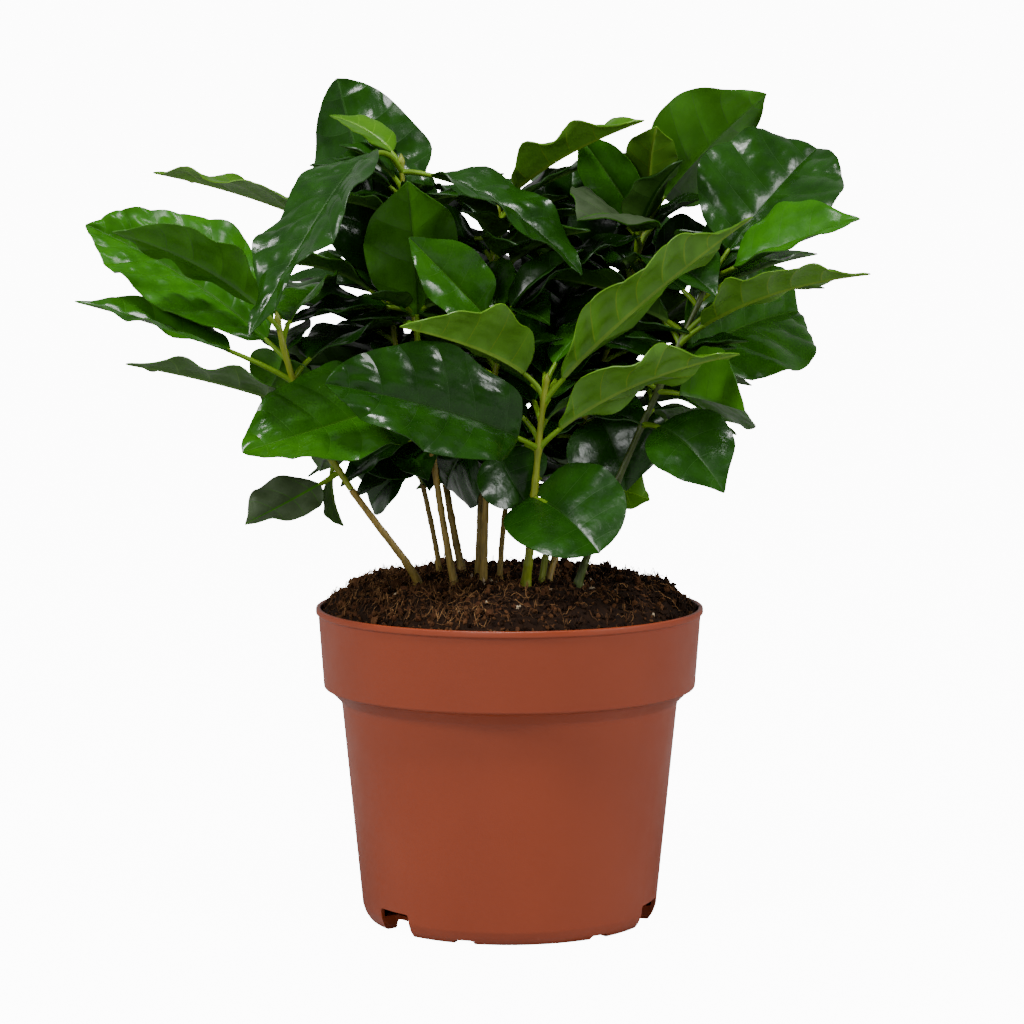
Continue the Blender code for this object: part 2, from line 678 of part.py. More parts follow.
def grow_crown():
    """The main leaves first, then each round of the rule from the top nodes down."""
    crown = Crown()
    for index, row in enumerate(MAIN_LEAVES):
        crown.place(main_candidates(index, row))
    for lap, (nodes, _, _) in enumerate(ROUNDS):
        for node in reversed(range(nodes)):
            for stem in RULE_ORDER:
                for side in (0, 1):
                    if len(crown.placed) < MAX_LEAVES:
                        crown.place(rule_candidates(stem, lap, node, side), in_crown)
    return [entry[0] for entry in crown.placed]


def build_shoot(number, seedling, shapes, parts, material):
    """The green stem with its leaves fused on by one Boolean union."""
    points, radii = shoot_axis(seedling)
    shoot = tube(f"shoot_{number:02d}", points, radii, parts, material)
    leaves = make_collection(f"leaves_{number:02d}")
    for shape in shapes:
        add_object("leaf", leaf_mesh(shape), leaves)
    union = shoot.modifiers.new("Leaves", "BOOLEAN")
    union.operation = "UNION"
    union.operand_type = "COLLECTION"
    union.collection = leaves
    union.solver = "MANIFOLD"
    mesh = evaluated_mesh(shoot)
    shoot.modifiers.clear()
    shoot.data = mesh
    weld(mesh)
    for piece in list(leaves.objects):
        bpy.data.objects.remove(piece, do_unlink=True)
    bpy.data.collections.remove(leaves)


def main():
    clear_scene()
    parts = make_collection("potted_coffee_plant")
    cutters = make_collection("cutters")
    build_pot(parts, cutters, make_material("Moulded terracotta plastic", TERRACOTTA, 0.5))
    build_soil(parts, make_material("Moist peat", PEAT, 0.95))
    stem_material = make_material("Young stem", STEM_BROWN, 0.6)
    leaf_material = make_material("Coffee leaf", GREEN, 0.3)
    shapes = grow_crown()
    for number, seedling in enumerate(SEEDLINGS, 1):
        own = [shape for shape in shapes if shape.row.stem == number]
        build_stem(number, seedling, parts, stem_material)
        build_shoot(number, seedling, own, parts, leaf_material)


main()
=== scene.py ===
"""Looks of a potted coffee plant: eleven coffee seedlings in a 12 cm nursery pot.

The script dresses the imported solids: it grows the same leaves by the same rule as they do and
gives them veins, waved margins and a waxy finish, and it makes the stems, the peat and the
moulded pot. Sizes in the tables are millimetres and angles are degrees; MM turns millimetres
into metres. The origin is on the pot's axis at the level it stands on, +Z is up, -Y is the
front and +X is the right-hand side seen from the front.
"""

import math
import random
from collections import namedtuple
from itertools import product

import bpy
import numpy as np
from bpy.props import FloatProperty, FloatVectorProperty, IntProperty, PointerProperty
from mathutils import Matrix, Vector, noise
from mathutils.bvhtree import BVHTree
from mathutils.kdtree import KDTree


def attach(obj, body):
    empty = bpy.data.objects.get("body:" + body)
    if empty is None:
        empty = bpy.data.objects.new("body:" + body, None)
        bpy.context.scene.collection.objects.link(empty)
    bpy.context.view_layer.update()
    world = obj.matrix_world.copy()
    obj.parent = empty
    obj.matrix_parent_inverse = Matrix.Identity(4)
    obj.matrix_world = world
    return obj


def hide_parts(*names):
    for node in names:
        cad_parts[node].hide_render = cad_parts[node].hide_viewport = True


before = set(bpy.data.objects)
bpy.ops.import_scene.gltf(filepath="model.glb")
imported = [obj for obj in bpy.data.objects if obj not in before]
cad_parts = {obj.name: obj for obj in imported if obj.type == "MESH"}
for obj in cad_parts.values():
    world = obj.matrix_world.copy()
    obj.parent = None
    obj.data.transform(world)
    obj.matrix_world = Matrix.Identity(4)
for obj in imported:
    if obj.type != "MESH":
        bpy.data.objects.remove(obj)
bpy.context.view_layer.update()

bl_info = {
    "name": "Potted coffee plant",
    "version": (1, 0, 0),
    "blender": (4, 5, 0),
    "location": "3D View > Sidebar > Coffee plant",
    "description": "Leaves, stems, peat and nursery pot of a young coffee plant",
    "category": "Object",
}

MM = 0.001

# ---------------------------------------------------------------- sizes that the solids share

RIM_RADIUS = 60.0
POT_HEIGHT = 97.8
LIP_HEIGHT = 1.9
LIP_DEPTH = 0.4
COLLAR_BOTTOM = 72.7
COLLAR_FOOT_RADIUS = 58.0
SHOULDER_HEIGHT = 68.5
SHOULDER_RADIUS = 52.4
BODY_FOOT_HEIGHT = 4.2
BODY_FOOT_RADIUS = 46.2
WALL = 1.2
FLOOR_THICKNESS = 1.4
UNDERSIDE = 2.8
FOOT_OUTER_RADIUS = 44.4
FOOT_INNER_RADIUS = 40.4
FOOT_SLOPE = 0.4
PAD_RADIUS = 9.0
ROUNDING = 0.6

FOOT_GROUPS = 3
FOOT_CENTRE_TURN = -80.0
SLOT_OFFSET = 28.0
SLOT_WIDTH = 6.5
SLOT_DEPTH = 8.0
NOTCH_OFFSET = 60.0
NOTCH_WIDTH = 13.4
NOTCH_HEIGHT = 7.2
NOTCH_DEPTH = 15.0
NOTCH_INSET = 1.0

SOIL_EDGE_HEIGHT = 96.8
SOIL_HEAP = 9.5                # how far the middle stands above the edge
SOIL_ROUNDNESS = 6
SOIL_CLEARANCE = 0.35

GAP = 0.3
COLLAR_STRAIGHT = 1.5
FLARE = 1.35
TIP_RADIUS = 0.75
TAPER = 0.8
LENGTH_STEPS = 20

PETIOLE = 9.0
PETIOLE_SHARE = 0.2
PETIOLE_HALF_WIDTH = 0.8
LONG_STALK = 0.3
BLADE_STATIONS = (0.12, 0.34, 0.6, 0.84, 1.0)
DIRECTION_STEP = 0.01

BODY_END = 0.93
BODY_SHIFT = 0.92
BODY_SQUARENESS = 2.2
BODY_FULLNESS = 0.85
DRIP_TIP = 2.6
DRIP_TAPER = 0.8
DRIP_START = 6
EDGE_MINIMUM = 0.25

ROUND_MIDDLE = 0.9
ROUND_SQUARENESS = 2.4
ROUND_END = 1.3
ROUND_FULLNESS = 0.6
ROUND_LOBE = 0.22

FOLD_RANGE = (10, 26)
TWIST = 14
TWIST_CENTRE = 0.35
SWAY = 0.05
RIPPLE_RANGE = (0.6, 1.5)
RIPPLES = 2.6
RIPPLE_LEAN = 0.2
RIPPLE_WIDTH = 6

SEED = 41
ROLL_TRIES = (0, 12, -12, 24, -24)
SWING_TRIES = (0, 6, -6, 12, -12, 18, -18, 26, -26)

# ---------------------------------------------------------------- sizes of the fine detail

MM_OF_METRE = 1000.0
SHOOTS = range(1, 12)          # the seedlings' numbers
MATCH = 0.75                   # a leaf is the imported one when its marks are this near
MATCH_STATION = 3              # the station whose two margins are such marks

# Veins. A side vein's place and slant are shares of the blade's length.
VEIN_PAIRS = (4, 8)
FIRST_VEIN, LAST_VEIN = 0.03, 0.97
VEIN_CROWDING = 1.05           # over 1 sets the veins closer together near the stalk
VEIN_LOOSE = 0.014             # how far a vein strays from its even place
VEIN_SLANT = 0.17
SLANT_LOOSE = (0.85, 1.15)
SLANT_CURVE = 0.45             # how much a side vein bends forward on its way out
SLANT_FADE = (6, 3)            # how soon the slant sets in near the stalk and ends near the tip
VEIN_WIDTH = 0.2
VEIN_THINNING = 0.6            # what a side vein loses of its width on its way to the margin
SIDE_RIDGE = 0.12
MIDRIB = (0.55, 0.16)          # half width at the stalk and at the tip
RIB_LIMIT = 0.3                # the midrib's half width as a share of the blade's, at most
# By its half width, the midrib lies this deep above and stands out this far below, in its
# middle and at its edges.
RIB_GROOVE = 0.3
RIB_RIDGE = (0.9, 0.15)

# Bulges between the side veins.
QUILTED = 1.7                  # how much stronger the bulges of the boldest leaves are
BULGE_LOOSE = (0.6, 1.35)
BULGE_FLATNESS = 0.7           # under 1 makes them flatter on top
CREASE_SPACING = 4.5           # distance between the small creases that cross a bulge
CREASE_DEPTH = 0.28
BULGE_START = 5                # bulges are full at a fifth of the way from midrib to margin
BULGE_FADE = 0.4               # what they lose on their way to the margin

# Outline and margin.
FULL_SIZE = 60.0               # a blade this long has its waves in full
SIZE_POWER = 1.5               # over 1 takes the waves away faster on smaller leaves
ROUND_SHIFT = 0.85
ROUND_POWER = 2.2
ROUND_LOBES = 0.3              # a round leaf's outline swells and narrows less
BLUNT_OUTLINE = (0.92, 0.6)    # shift of the widest place, and a power that fills the ends
SLENDER_OUTLINE = (0.85, 0.75)
TAPER_START = 0.68
TAPER_LOOSE = (0.2, 0.5)       # share of its width that the tip of a slender leaf loses
PETIOLE_TIP = 0.8              # half width where the blade leaves its stalk
TIP_HALF = 1.1
TIP_EDGE = 0.15                # the least half width, as a share of TIP_HALF
BASE_START = 12                # the blade opens from its stalk within a twelfth of its length
LOBE_WAVES = (1.6, 2.6)        # fewest and most swellings along a margin
FRILL_WAVES = (2.6, 4.2)       # fewest and most short waves along it
FOLD_BOW = 0.3                 # how far each half of a folded blade bows outwards
# A half of a blade curls down or up, from this share of its width outwards.
CURL_LOOSE = (-1.0, 0.8)
CURL_DEPTH = 0.35
CURL_START = 0.6
FULL_DETAIL = (14, 6)          # columns each side of the midrib, rows between two side veins
FINE_DETAIL = (9, 4)

# Stems, buds and leaf stalks.
STEM_RING = 16
BARK_STEP = 0.6
BARK_GRAIN = 2.2               # how busy the fissures are round the stem
BARK_STRETCH = 0.35            # under 1 draws the fissures out along it
BARK_NOISE = (0.9, 2.1, 3)     # loss, step and number of its finer fissures
BARK_SHIFT = 9                 # moves the fissures from one stem to the next
BARK_FLARE = 0.12              # how much wider the stem is at the soil
FLARE_REACH = 2.5
SCARS = (0.3, 0.62, 0.97)      # old leaf scars, as shares of the bare stem
SCAR_SWELLING, SCAR_REACH = 0.1, 0.9
GREEN_RING = 12
GREEN_STEP = 1.2
NODE_SWELLING, NODE_REACH = 0.22, 1.3
BUD_LENGTH = 4.0
BUD_PROFILE = (1.35, 1.5, 1.2, 0.7, 0.15)  # its radii, as shares of the stem's tip radius
PETIOLE_RADII = (0.95, 0.7)
PETIOLE_RING = 8
PETIOLE_STEPS = 8
PETIOLE_OVERLAP = 1.04         # a stalk runs a little way into its blade
PETIOLE_DROP = 0.35            # and lies this far under its face
# Stems that are one colour from the soil up, stem 11's darkened with painted shade. The others are
# brown below and green above.
STEM_COLOURS = {8: "green_stem", 9: "green_stem", 11: "shaded_dark_green_stem"}

# The pot's moulded details.
SLOT_HEIGHT = 1.2              # the gaps between the feet are shallow on the moulded pot
LIP_LEAN = (-0.2, 0.1)         # the inside of the rim below and at its top
LIP_UNDERCUT = (0.35, 0.25)    # inwards and downwards
COLLAR_EDGE = 0.2
COLLAR_LEDGE = (1.4, 0.3)      # the collar's level underside, and how far it dips
SHOULDER_BEND = (0.4, 0.2, 1.2)  # outwards and upwards before the bend, downwards after it
FOOT_TUCK = (0.8, 1.9)         # the body's foot draws in by this, at this height
FOOT_EDGE = 0.3
SECTION_ROUNDING = 0.55
CUT_ROUNDING = 0.9
CORNER_STEPS = (0.0, 0.33, 0.67, 1.0)  # places of the points of a rounding's arc
CORNER_LIMIT = 0.45            # a rounding takes up less than half of a short side

# Peat, crumbs and roots.
HEAP_POWER = 8                 # the crumbly heap is flatter and steeper than the plain one
FLOOR_CHAMFER = 9.0            # the peat's lowest edge is set back from the drain notches
EVEN_EDGE = 0.93               # from this share of the radius the surface evens out
# The surface's swells: distance from one to the next, height, loss and number of finer ones.
SWELLS = ((13, 2.0, 1.0, 2), (4.2, 1.3, 0.9, 3))
SWELL_STEP = 2.0
SWELL_LEVEL, PATCH_LEVEL = 3.0, 7.0  # heights at which the noise is read
BROWN_MIDDLE = 0.26              # share of brown crumbs in the middle
BROWN_LEFT, BROWN_FRONT = 36, 150  # distances over which it grows to the left and to the front
BROWN_FRONT_LINE = -20
DRY_PATCH = (9, 0.5)           # size and strength of drier and moister patches
BROWN_RANGE = (0.04, 0.95)
CRUMBS = 7400
CRUMB_SIZES = (0.3, 1.15)
LUMPS = 110
LUMP_SIZES = (1.0, 2.1)
LUMP_SINK = 0.6
CHIPS = 46
CHIP_SIZES = (0.4, 1.3)
CHIP_FLATNESS = (0.3, 0.8)
CHIP_LENGTH = 1.5
SMALLER_MORE = 1.7             # over 1 deals out more small lumps than large ones
SPREAD = 1.005                 # the outermost lumps lie against the pot's wall
STRETCH_LONG, STRETCH_WIDE = (0.7, 1.6), (0.6, 1.2)
FLATNESS = (0.5, 1.0)
DENTS = (0.6, 1.3)             # how far its corners move in or out
SINK = 0.25                    # how deep it lies, as a share of its size
EDGE_LIFT = 0.6                # lumps at the wall lie on the peat
FIBRES = 1500
FIBRE_SPREAD = (0.98, 0.99)    # share of the radius that a fibre starts and stays within
FIBRE_LENGTHS = (2, 10)
FIBRE_BEND, FIBRE_KINK = 0.3, 0.4
FIBRE_LIFTS = (0.5, 0.7, 1.0, 2.4)  # how high its loops rise
FIBRE_HOVER, FIBRE_WAVE = 0.3, 1.3
FIBRE_RADII = (0.07, 0.17)
FIBRE_PROFILE = (0.5, 0.9, 1, 0.9, 0.7, 0.3)  # its thickness from end to end
FIBRE_RING = 4
FIBRE_MOIST_SHARE = 0.25       # share of fibres kept on moist peat
MOIST_CRUMBS = ("peat",) * 4 + ("brown_crumb",)
DRY_CRUMBS = ("brown_crumb", "brown_crumb", "red_crumb", "peat")
FIBRE_COLOURS = ("fibre", "dark_fibre", "dark_fibre")

# Modelling: edges sharper than these angles stay hard, and points nearer than WELD are one.
POT_CREASE, PEAT_CREASE, CRUMB_CREASE, PLANT_CREASE = 32, 50, 35, 60
WELD = 0.002
TOLERANCE = 0.01               # points this near the heap's foot are lifted with the heap
START_SIDE = (0.3, 1.0, 0.1)   # no stem or stalk sets out in this direction

# Each seedling: where it leaves the soil, two handles that bend it, its tip, its radius
# at the soil, and the share of its length below its leafy shoot.
Seedling = namedtuple("Seedling", "foot low_handle high_handle tip radius bare")
SEEDLINGS = (
    Seedling((-28, -22), (-32, -24, 119), (-63, -30, 147), (-69, -34, 187), 1.35, 0.50),
    Seedling((-22, 5), (-24, 5, 127), (-33, 4, 152), (-39, 0, 207), 0.9, 0.40),
    Seedling((-17, -20), (-21, -20, 127), (-30, -10, 184), (-33, -5, 234), 1.2, 0.42),
    Seedling((-15, 8), (-20, 12, 130), (-25, 25, 160), (-29, 40, 211), 1.3, 0.36),
    Seedling((-10, 0), (-9, 0, 131), (-8, 5, 177), (-3, 10, 223), 0.9, 0.38),
    Seedling((-8, -23), (-7, -23, 133), (-7, -20, 163), (-2, -15, 185), 1.15, 0.40),
    Seedling((-3, -4), (-2, 0, 131), (3, 25, 160), (16, 45, 212), 0.9, 0.36),
    Seedling((5, -22), (7, -24, 121), (8, -27, 149), (11, -27, 168), 1.5, 0.40),
    Seedling((10, -18), (12, -16, 126), (25, -5, 162), (44, 12, 219), 1.1, 0.36),
    Seedling((12, -16), (17, -10, 126), (35, 20, 161), (48, 40, 195), 1.1, 0.32),
    Seedling((21, -24), (24, -24, 119), (40, -20, 157), (62, -12, 201), 1.35, 0.45),
)

# A leaf: its seedling, how far up that it sits, the compass turn and the rise of the line
# to its tip, that line's length, the blade's width, its roll about that line (0 is upper
# face up) and how far it arches. early under 1 moves the arch's top towards the stem.
Leaf = namedtuple("Leaf", "stem at turn rise reach width roll arch early kind")
LONG, ROUND, STALKED = "long", "round", "stalked"


def leaf(stem, at, turn, rise, reach, width, roll, arch, early=0.85, kind=LONG):
    return Leaf(stem, at, turn, rise, reach, width, roll, arch, early, kind)


# The leaves that give the front of the crown its look. The others follow by rule.
MAIN_LEAVES = (
    leaf(8, 0.70, -152, 17, 74, 36, -69, 5),
    leaf(8, 0.70, -24, 25, 71, 22, -22, 5),
    leaf(8, 0.92, -140, 24, 60, 32, 13, 7, 0.6),
    leaf(8, 0.92, -30, 39, 89, 23, -17, 5),
    leaf(8, 0.47, -52, -24, 34, 37, 36, 3, 0.85, ROUND),
    leaf(1, 0.99, -161, 30, 58, 22, 27, 4),
    leaf(3, 0.99, -124, -32, 89, 28, 8, 14, 0.5),
    leaf(3, 0.99, -20, -28, 66, 22, 13, 6),
    leaf(2, 0.91, 142, 81, 49, 38, -49, 5),
    leaf(2, 1.00, 118, 59, 64, 43, 126, 4),
    leaf(3, 0.64, -97, 68, 54, 30, 18, 4),
    leaf(6, 0.97, -159, 45, 42, 22, -77, 3),
    leaf(1, 0.91, 153, 29, 82, 38, -42, 3),
    leaf(3, 0.53, -137, -10, 72, 38, -37, 5),
    leaf(1, 0.77, -155, 15, 58, 22, 8, 1),
    leaf(1, 0.85, -177, 20, 70, 22, -22, 3, 0.85, STALKED),
    leaf(2, 0.99, 168, 20, 79, 26, 6, 4),
    leaf(1, 0.57, -144, -23, 36, 20, -28, -2),
    leaf(1, 0.60, 101, -67, 22, 12, -97, 2),
    leaf(1, 0.94, 138, -60, 19, 24, 67, 3),
    leaf(2, 0.48, -148, 5, 26, 24, -50, 4),
    leaf(2, 0.47, 159, -39, 21, 22, -59, 4),
    leaf(11, 1.00, 38, 42, 58, 46, 35, 4),
    leaf(9, 0.99, 14, 46, 55, 42, -57, 4),
    leaf(11, 0.99, -13, 22, 50, 32, 28, 2),
    leaf(8, 0.96, 85, 28, 76, 34, 6, 3),
    leaf(9, 0.94, -113, 10, 53, 28, -21, 6),
    leaf(9, 0.97, -174, 55, 37, 16, -105, 4),
    leaf(5, 0.99, -20, 27, 58, 25, 3, 3),
    leaf(11, 0.84, -33, 19, 68, 24, -11, 5),
    leaf(11, 0.77, 30, 16, 61, 46, 57, 4),
    leaf(11, 0.72, -44, -7, 35, 32, -55, 3),
    leaf(11, 0.63, -41, -28, 39, 26, 32, 6),
    leaf(9, 0.91, -48, -13, 41, 24, 20, 5),
    leaf(9, 0.61, -35, -63, 30, 34, 40, 4),
    leaf(10, 0.37, -10, -7, 22, 24, 36, 3),
    leaf(6, 0.58, 117, -34, 36, 30, -107, 3),
    leaf(6, 0.55, -20, -60, 24, 24, 60, 3),
    leaf(7, 0.94, -30, 77, 32, 32, 127, 4),
    leaf(10, 0.65, 133, 74, 35, 34, -57, 3),
    leaf(5, 0.92, 165, -12, 32, 24, -60, 3),
    leaf(9, 0.91, 20, 8, 30, 24, 55, 3),
)

# The rule's leaves fill the seedlings in this order, with opposite leaves at each node and
# each pair crossing the one below.
RULE_ORDER = (7, 4, 10, 5, 2, 9, 3, 11, 6, 1, 8)
# Rounds of the rule: nodes to a shoot, share of a node's spacing below the first, leaf size.
ROUNDS = ((5, 0.5, 1.0), (5, 0.95, 0.7))
# The finer rounds that only this script grows.
FINE_ROUNDS = ((6, 0.25, 0.95), (5, 0.75, 0.85), (6, 0.5, 0.7), (7, 0.1, 0.6), (6, 0.9, 0.5),
               (7, 0.4, 0.6))
FILL_CLEARANCE = 0.25
FILL_LOWER = 5.0               # the smaller leaves stay this far under the crown's top
STEM_TURN = 47.0               # from one seedling's lowest pair to the next one's
PAIR_TURN = 90.0
OPPOSITE_TURN = 180.0
REACH_RANGE = (46.0, 80.0)
RISE_RANGE = (-22.0, 48.0)     # from the lowest node to the top one
RISE_LOOSE = 15.0
ROLL_LOOSE = 25.0
WIDTH_SHARE = (0.40, 0.48)     # a blade's width as a share of its length
ARCH_SHARE = (0.06, 0.16)
EARLY = 0.8
# A leaf that has no room is tried again, looser, lower and smaller each time.
TRIES = 22
TURN_LOOSE = 8.0
LOOSER = 3.0
LOWER = 0.5
SMALLER = 0.015

# The crown's space: how high and how low leaves reach, seen from the front, by X.
CROWN_TOP = ((-118, 214), (-70, 222), (-60, 250), (-44, 255), (-26, 236), (-4, 232),
             (20, 244), (50, 252), (80, 254), (98, 240), (110, 205))
CROWN_BOTTOM = ((-118, 196), (-90, 176), (-72, 142), (-50, 132), (42, 130), (66, 140),
                (80, 168), (98, 186), (110, 200))
CROWN_HALF_DEPTH = 112.0
CROWN_HALF_WIDTH = 122.0
FRONT_LIMIT = -28.0            # the rule keeps its leaves behind this plane
VIEW_DISTANCE = 1000.0         # the crown's outline is true from this far in front
VIEW_HEIGHT = 229.0


# ---------------------------------------------------------------- the growing rule

def lerp(a, b, share):
    return a + (b - a) * share


def clamp(value, low=0.0, high=1.0):
    return min(max(value, low), high)


def read_line(points, x):
    """Height at x of a line through (x, height) points, or None past its ends."""
    for (x0, z0), (x1, z1) in zip(points, points[1:]):
        if x0 <= x <= x1:
            return lerp(z0, z1, (x - x0) / (x1 - x0))
    return None


def soil_edge_radius():
    return RIM_RADIUS - WALL - ROUNDING - SOIL_CLEARANCE


def soil_height(x, y):
    radius = min(math.hypot(x, y) / soil_edge_radius(), 1.0)
    return SOIL_EDGE_HEIGHT + SOIL_HEAP * (1.0 - radius ** SOIL_ROUNDNESS)


def stem_foot(seedling):
    """The foot's middle, clear of the soil on the uphill side too."""
    x, y = seedling.foot
    out = math.hypot(x, y)
    uphill = max(0.0, 1.0 - seedling.radius * FLARE / out)
    return Vector((x, y, soil_height(x * uphill, y * uphill) + GAP))


def stem_point(seedling, share):
    start = stem_foot(seedling) + Vector((0, 0, COLLAR_STRAIGHT))
    low, high, tip = Vector(seedling.low_handle), Vector(seedling.high_handle), Vector(seedling.tip)
    rest = 1.0 - share
    return (start * rest ** 3 + low * 3 * rest ** 2 * share
            + high * 3 * rest * share ** 2 + tip * share ** 3)


def stem_radius(seedling, share):
    return lerp(seedling.radius, TIP_RADIUS, share ** TAPER)


def stem_length(seedling):
    points = [stem_point(seedling, step / LENGTH_STEPS) for step in range(LENGTH_STEPS + 1)]
    return sum((b - a).length for a, b in zip(points, points[1:]))


def blade_half_width(width, share, kind):
    """Half the blade's width at a share of its length."""
    if kind == ROUND:
        off_middle = abs(2 * share - ROUND_MIDDLE) ** ROUND_SQUARENESS / ROUND_END
        return 0.5 * width * (1.0 - off_middle) ** ROUND_FULLNESS
    body = 0.0
    if share < BODY_END:
        off_middle = abs(2 * (share / BODY_END) ** BODY_SHIFT - 1.0) ** BODY_SQUARENESS
        body = (1.0 - off_middle) ** BODY_FULLNESS
    drip = DRIP_TIP * (1.0 - share) ** DRIP_TAPER * min(1.0, DRIP_START * share)
    return 0.5 * width * body + drip + EDGE_MINIMUM


class LeafShape:
    """The surface of one leaf, in millimetres, from its stem to its tip."""

    def __init__(self, row, seedling, spice):
        self.row = row
        self.base = stem_point(seedling, row.at)
        turn, rise = math.radians(row.turn), math.radians(row.rise)
        line = Vector((math.cos(rise) * math.cos(turn), math.cos(rise) * math.sin(turn),
                       math.sin(rise)))
        self.line = line * row.reach
        up = Vector((0, 0, 1))
        up = (up - line * up.dot(line)).normalized()
        self.face = Matrix.Rotation(math.radians(row.roll), 3, line) @ up
        self.across = line.cross(self.face)
        self.petiole = min(PETIOLE, PETIOLE_SHARE * row.reach) / row.reach
        if row.kind == STALKED:
            self.petiole = LONG_STALK
        self.fold = math.radians(spice.uniform(*FOLD_RANGE))
        self.twist = math.radians(spice.uniform(-TWIST, TWIST))
        self.sway = spice.uniform(-SWAY, SWAY) * row.reach
        self.ripple = spice.uniform(*RIPPLE_RANGE)
        self.phase = spice.uniform(0, 1)

    def centre(self, share):
        bow = share ** self.row.early
        side = 4 * share * (1 - share) * self.sway
        return (self.base + self.line * share
                + self.face * (4 * bow * (1 - bow) * self.row.arch) + self.across * side)

    def direction(self, share):
        ahead = self.centre(min(share + DIRECTION_STEP, 1.0))
        return (ahead - self.centre(max(share - DIRECTION_STEP, 0.0))).normalized()

    def frame_at(self, share):
        """The middle line's point and direction, and the blade's normal and side there."""
        run = self.direction(share)
        normal = (self.face - run * self.face.dot(run)).normalized()
        normal = Matrix.Rotation(self.twist * (share - TWIST_CENTRE), 3, run) @ normal
        return self.centre(share), run, normal, run.cross(normal)

    def ripple_at(self, blade, v):
        """Height of the margin's long wave."""
        wave = math.sin(math.tau * (RIPPLES * blade + self.phase + RIPPLE_LEAN * v))
        return self.ripple * wave * v * v

    def set_back(self, blade, v):
        """How far a round leaf's lobes reach back beside its stalk."""
        if self.row.kind != ROUND:
            return 0.0
        return ROUND_LOBE * self.row.reach * v * v * (1 - blade) ** 2

    def point(self, share, v):
        """A point at a share of the length and at v across, from -1 to 1."""
        here, run, normal, side = self.frame_at(share)
        if share <= self.petiole:
            return here + side * (v * PETIOLE_HALF_WIDTH)
        blade = (share - self.petiole) / (1 - self.petiole)
        half = blade_half_width(self.row.width, blade, self.row.kind)
        here = here - run * self.set_back(blade, v)
        lift = abs(v) * half * math.sin(self.fold)
        lift += self.ripple_at(blade, v) * min(1, half / RIPPLE_WIDTH)
        return here + side * (v * half * math.cos(self.fold)) + normal * lift

    def stations(self):
        return [0.0, self.petiole] + [lerp(self.petiole, 1.0, share) for share in BLADE_STATIONS]


def main_candidates(index, row):
    """A main leaf as given, then swung a little to the front or the back and rolled a little."""
    seedling = SEEDLINGS[row.stem - 1]
    forward = 1 if math.cos(math.radians(row.turn)) > 0 else -1
    for roll in ROLL_TRIES:
        for swing in SWING_TRIES:
            turned_row = row._replace(turn=row.turn + swing * forward, roll=row.roll + roll)
            yield LeafShape(turned_row, seedling, random.Random(SEED * 1000 + index))


def rule_candidates(stem, lap, node, side):
    """Tries for the leaf on one side of a node, with a seed of its own for each leaf."""
    spice = random.Random(SEED * 7919 + stem * 101 + lap * 37 + node * 5 + side)
    seedling = SEEDLINGS[stem - 1]
    nodes, first, size = (ROUNDS + FINE_ROUNDS)[lap]
    share = (node + first) / nodes
    at = lerp(seedling.bare, 1.0, share)
    for attempt in range(TRIES):
        loose = TURN_LOOSE + LOOSER * attempt
        turn = STEM_TURN * stem + PAIR_TURN * node + OPPOSITE_TURN * side
        turn += spice.uniform(-loose, loose)
        rise = lerp(*RISE_RANGE, share) + spice.uniform(-RISE_LOOSE, RISE_LOOSE)
        rise -= LOWER * attempt
        reach = size * spice.uniform(*REACH_RANGE) * (1 - SMALLER * attempt)
        width = reach * spice.uniform(*WIDTH_SHARE)
        arch = reach * spice.uniform(*ARCH_SHARE)
        roll = spice.uniform(-ROLL_LOOSE, ROLL_LOOSE)
        row = leaf(stem, at, turn, rise, reach, width, roll, arch, EARLY)
        yield LeafShape(row, seedling, spice)


# ---------------------------------------------------------------- finishes

MASK_RANGE = (0.3, 0.7)        # a mask rises from its low to its high end over these values
GREEN_PATCH_MM, WAX_PATCH_MM = 7.0, 4.0
WAX_SPREAD = (0.05, 0.08)      # how much smoother and rougher the wax is in patches
CELL_MM, WRINKLE_MM = 0.7, 2.2  # the cells are coarser than real ones, so that they show
CELL_SHARE = 0.14              # height of the cells as a share of the wrinkles'
WAX_IOR = 1.45
STREAK_MM, STREAK_DEPTH_MM = 0.9, 0.12
STREAK_STRETCH = 0.16          # under 1 draws the streaks out along the stem
GRIT_MM, GRIT_DEPTH_MM = 0.5, 0.3
PEAT_SHINE = 0.15
CHALK_PATCH_MM, SATIN_PATCH_MM = 34.0, 12.0
CHALK_SHARE = 0.55             # the chalkiest patches are this near to the second colour
SATIN_ROUGHNESS = (0.37, 0.46)
GRAIN_MM, GRAIN_DEPTH_MM = 0.45, 0.04  # coarser than the mould's real grain, so that it shows
PLASTIC_IOR, PLASTIC_SHINE = 1.49, 0.55


def linear(colour):
    """A colour written as sRGB hex, as the linear values that a shader takes."""
    parts = [int(colour[i:i + 2], 16) / 255 for i in (0, 2, 4)]
    return [c / 12.92 if c <= 0.04045 else ((c + 0.055) / 1.055) ** 2.4 for c in parts] + [1.0]


def add(tree, kind, settings=None, **inputs):
    """Add one node with its settings. An input is given a value, or a socket to link from."""
    item = tree.nodes.new(kind)
    for name, value in (settings or {}).items():
        setattr(item, name, value)
    for name, value in inputs.items():
        key = int(name[1:]) if name[0] == "i" and name[1:].isdigit() else name.replace("_", " ")
        if isinstance(value, bpy.types.NodeSocket):
            tree.links.new(value, item.inputs[key])
        else:
            item.inputs[key].default_value = value
    return item


def new_material(name):
    """A material with its shader, and the object's own coordinates."""
    material = bpy.data.materials.new(name)
    material.use_nodes = True
    tree = material.node_tree
    shader = tree.nodes["Principled BSDF"]
    place = add(tree, "ShaderNodeTexCoord").outputs["Object"]
    return material, tree, shader, place


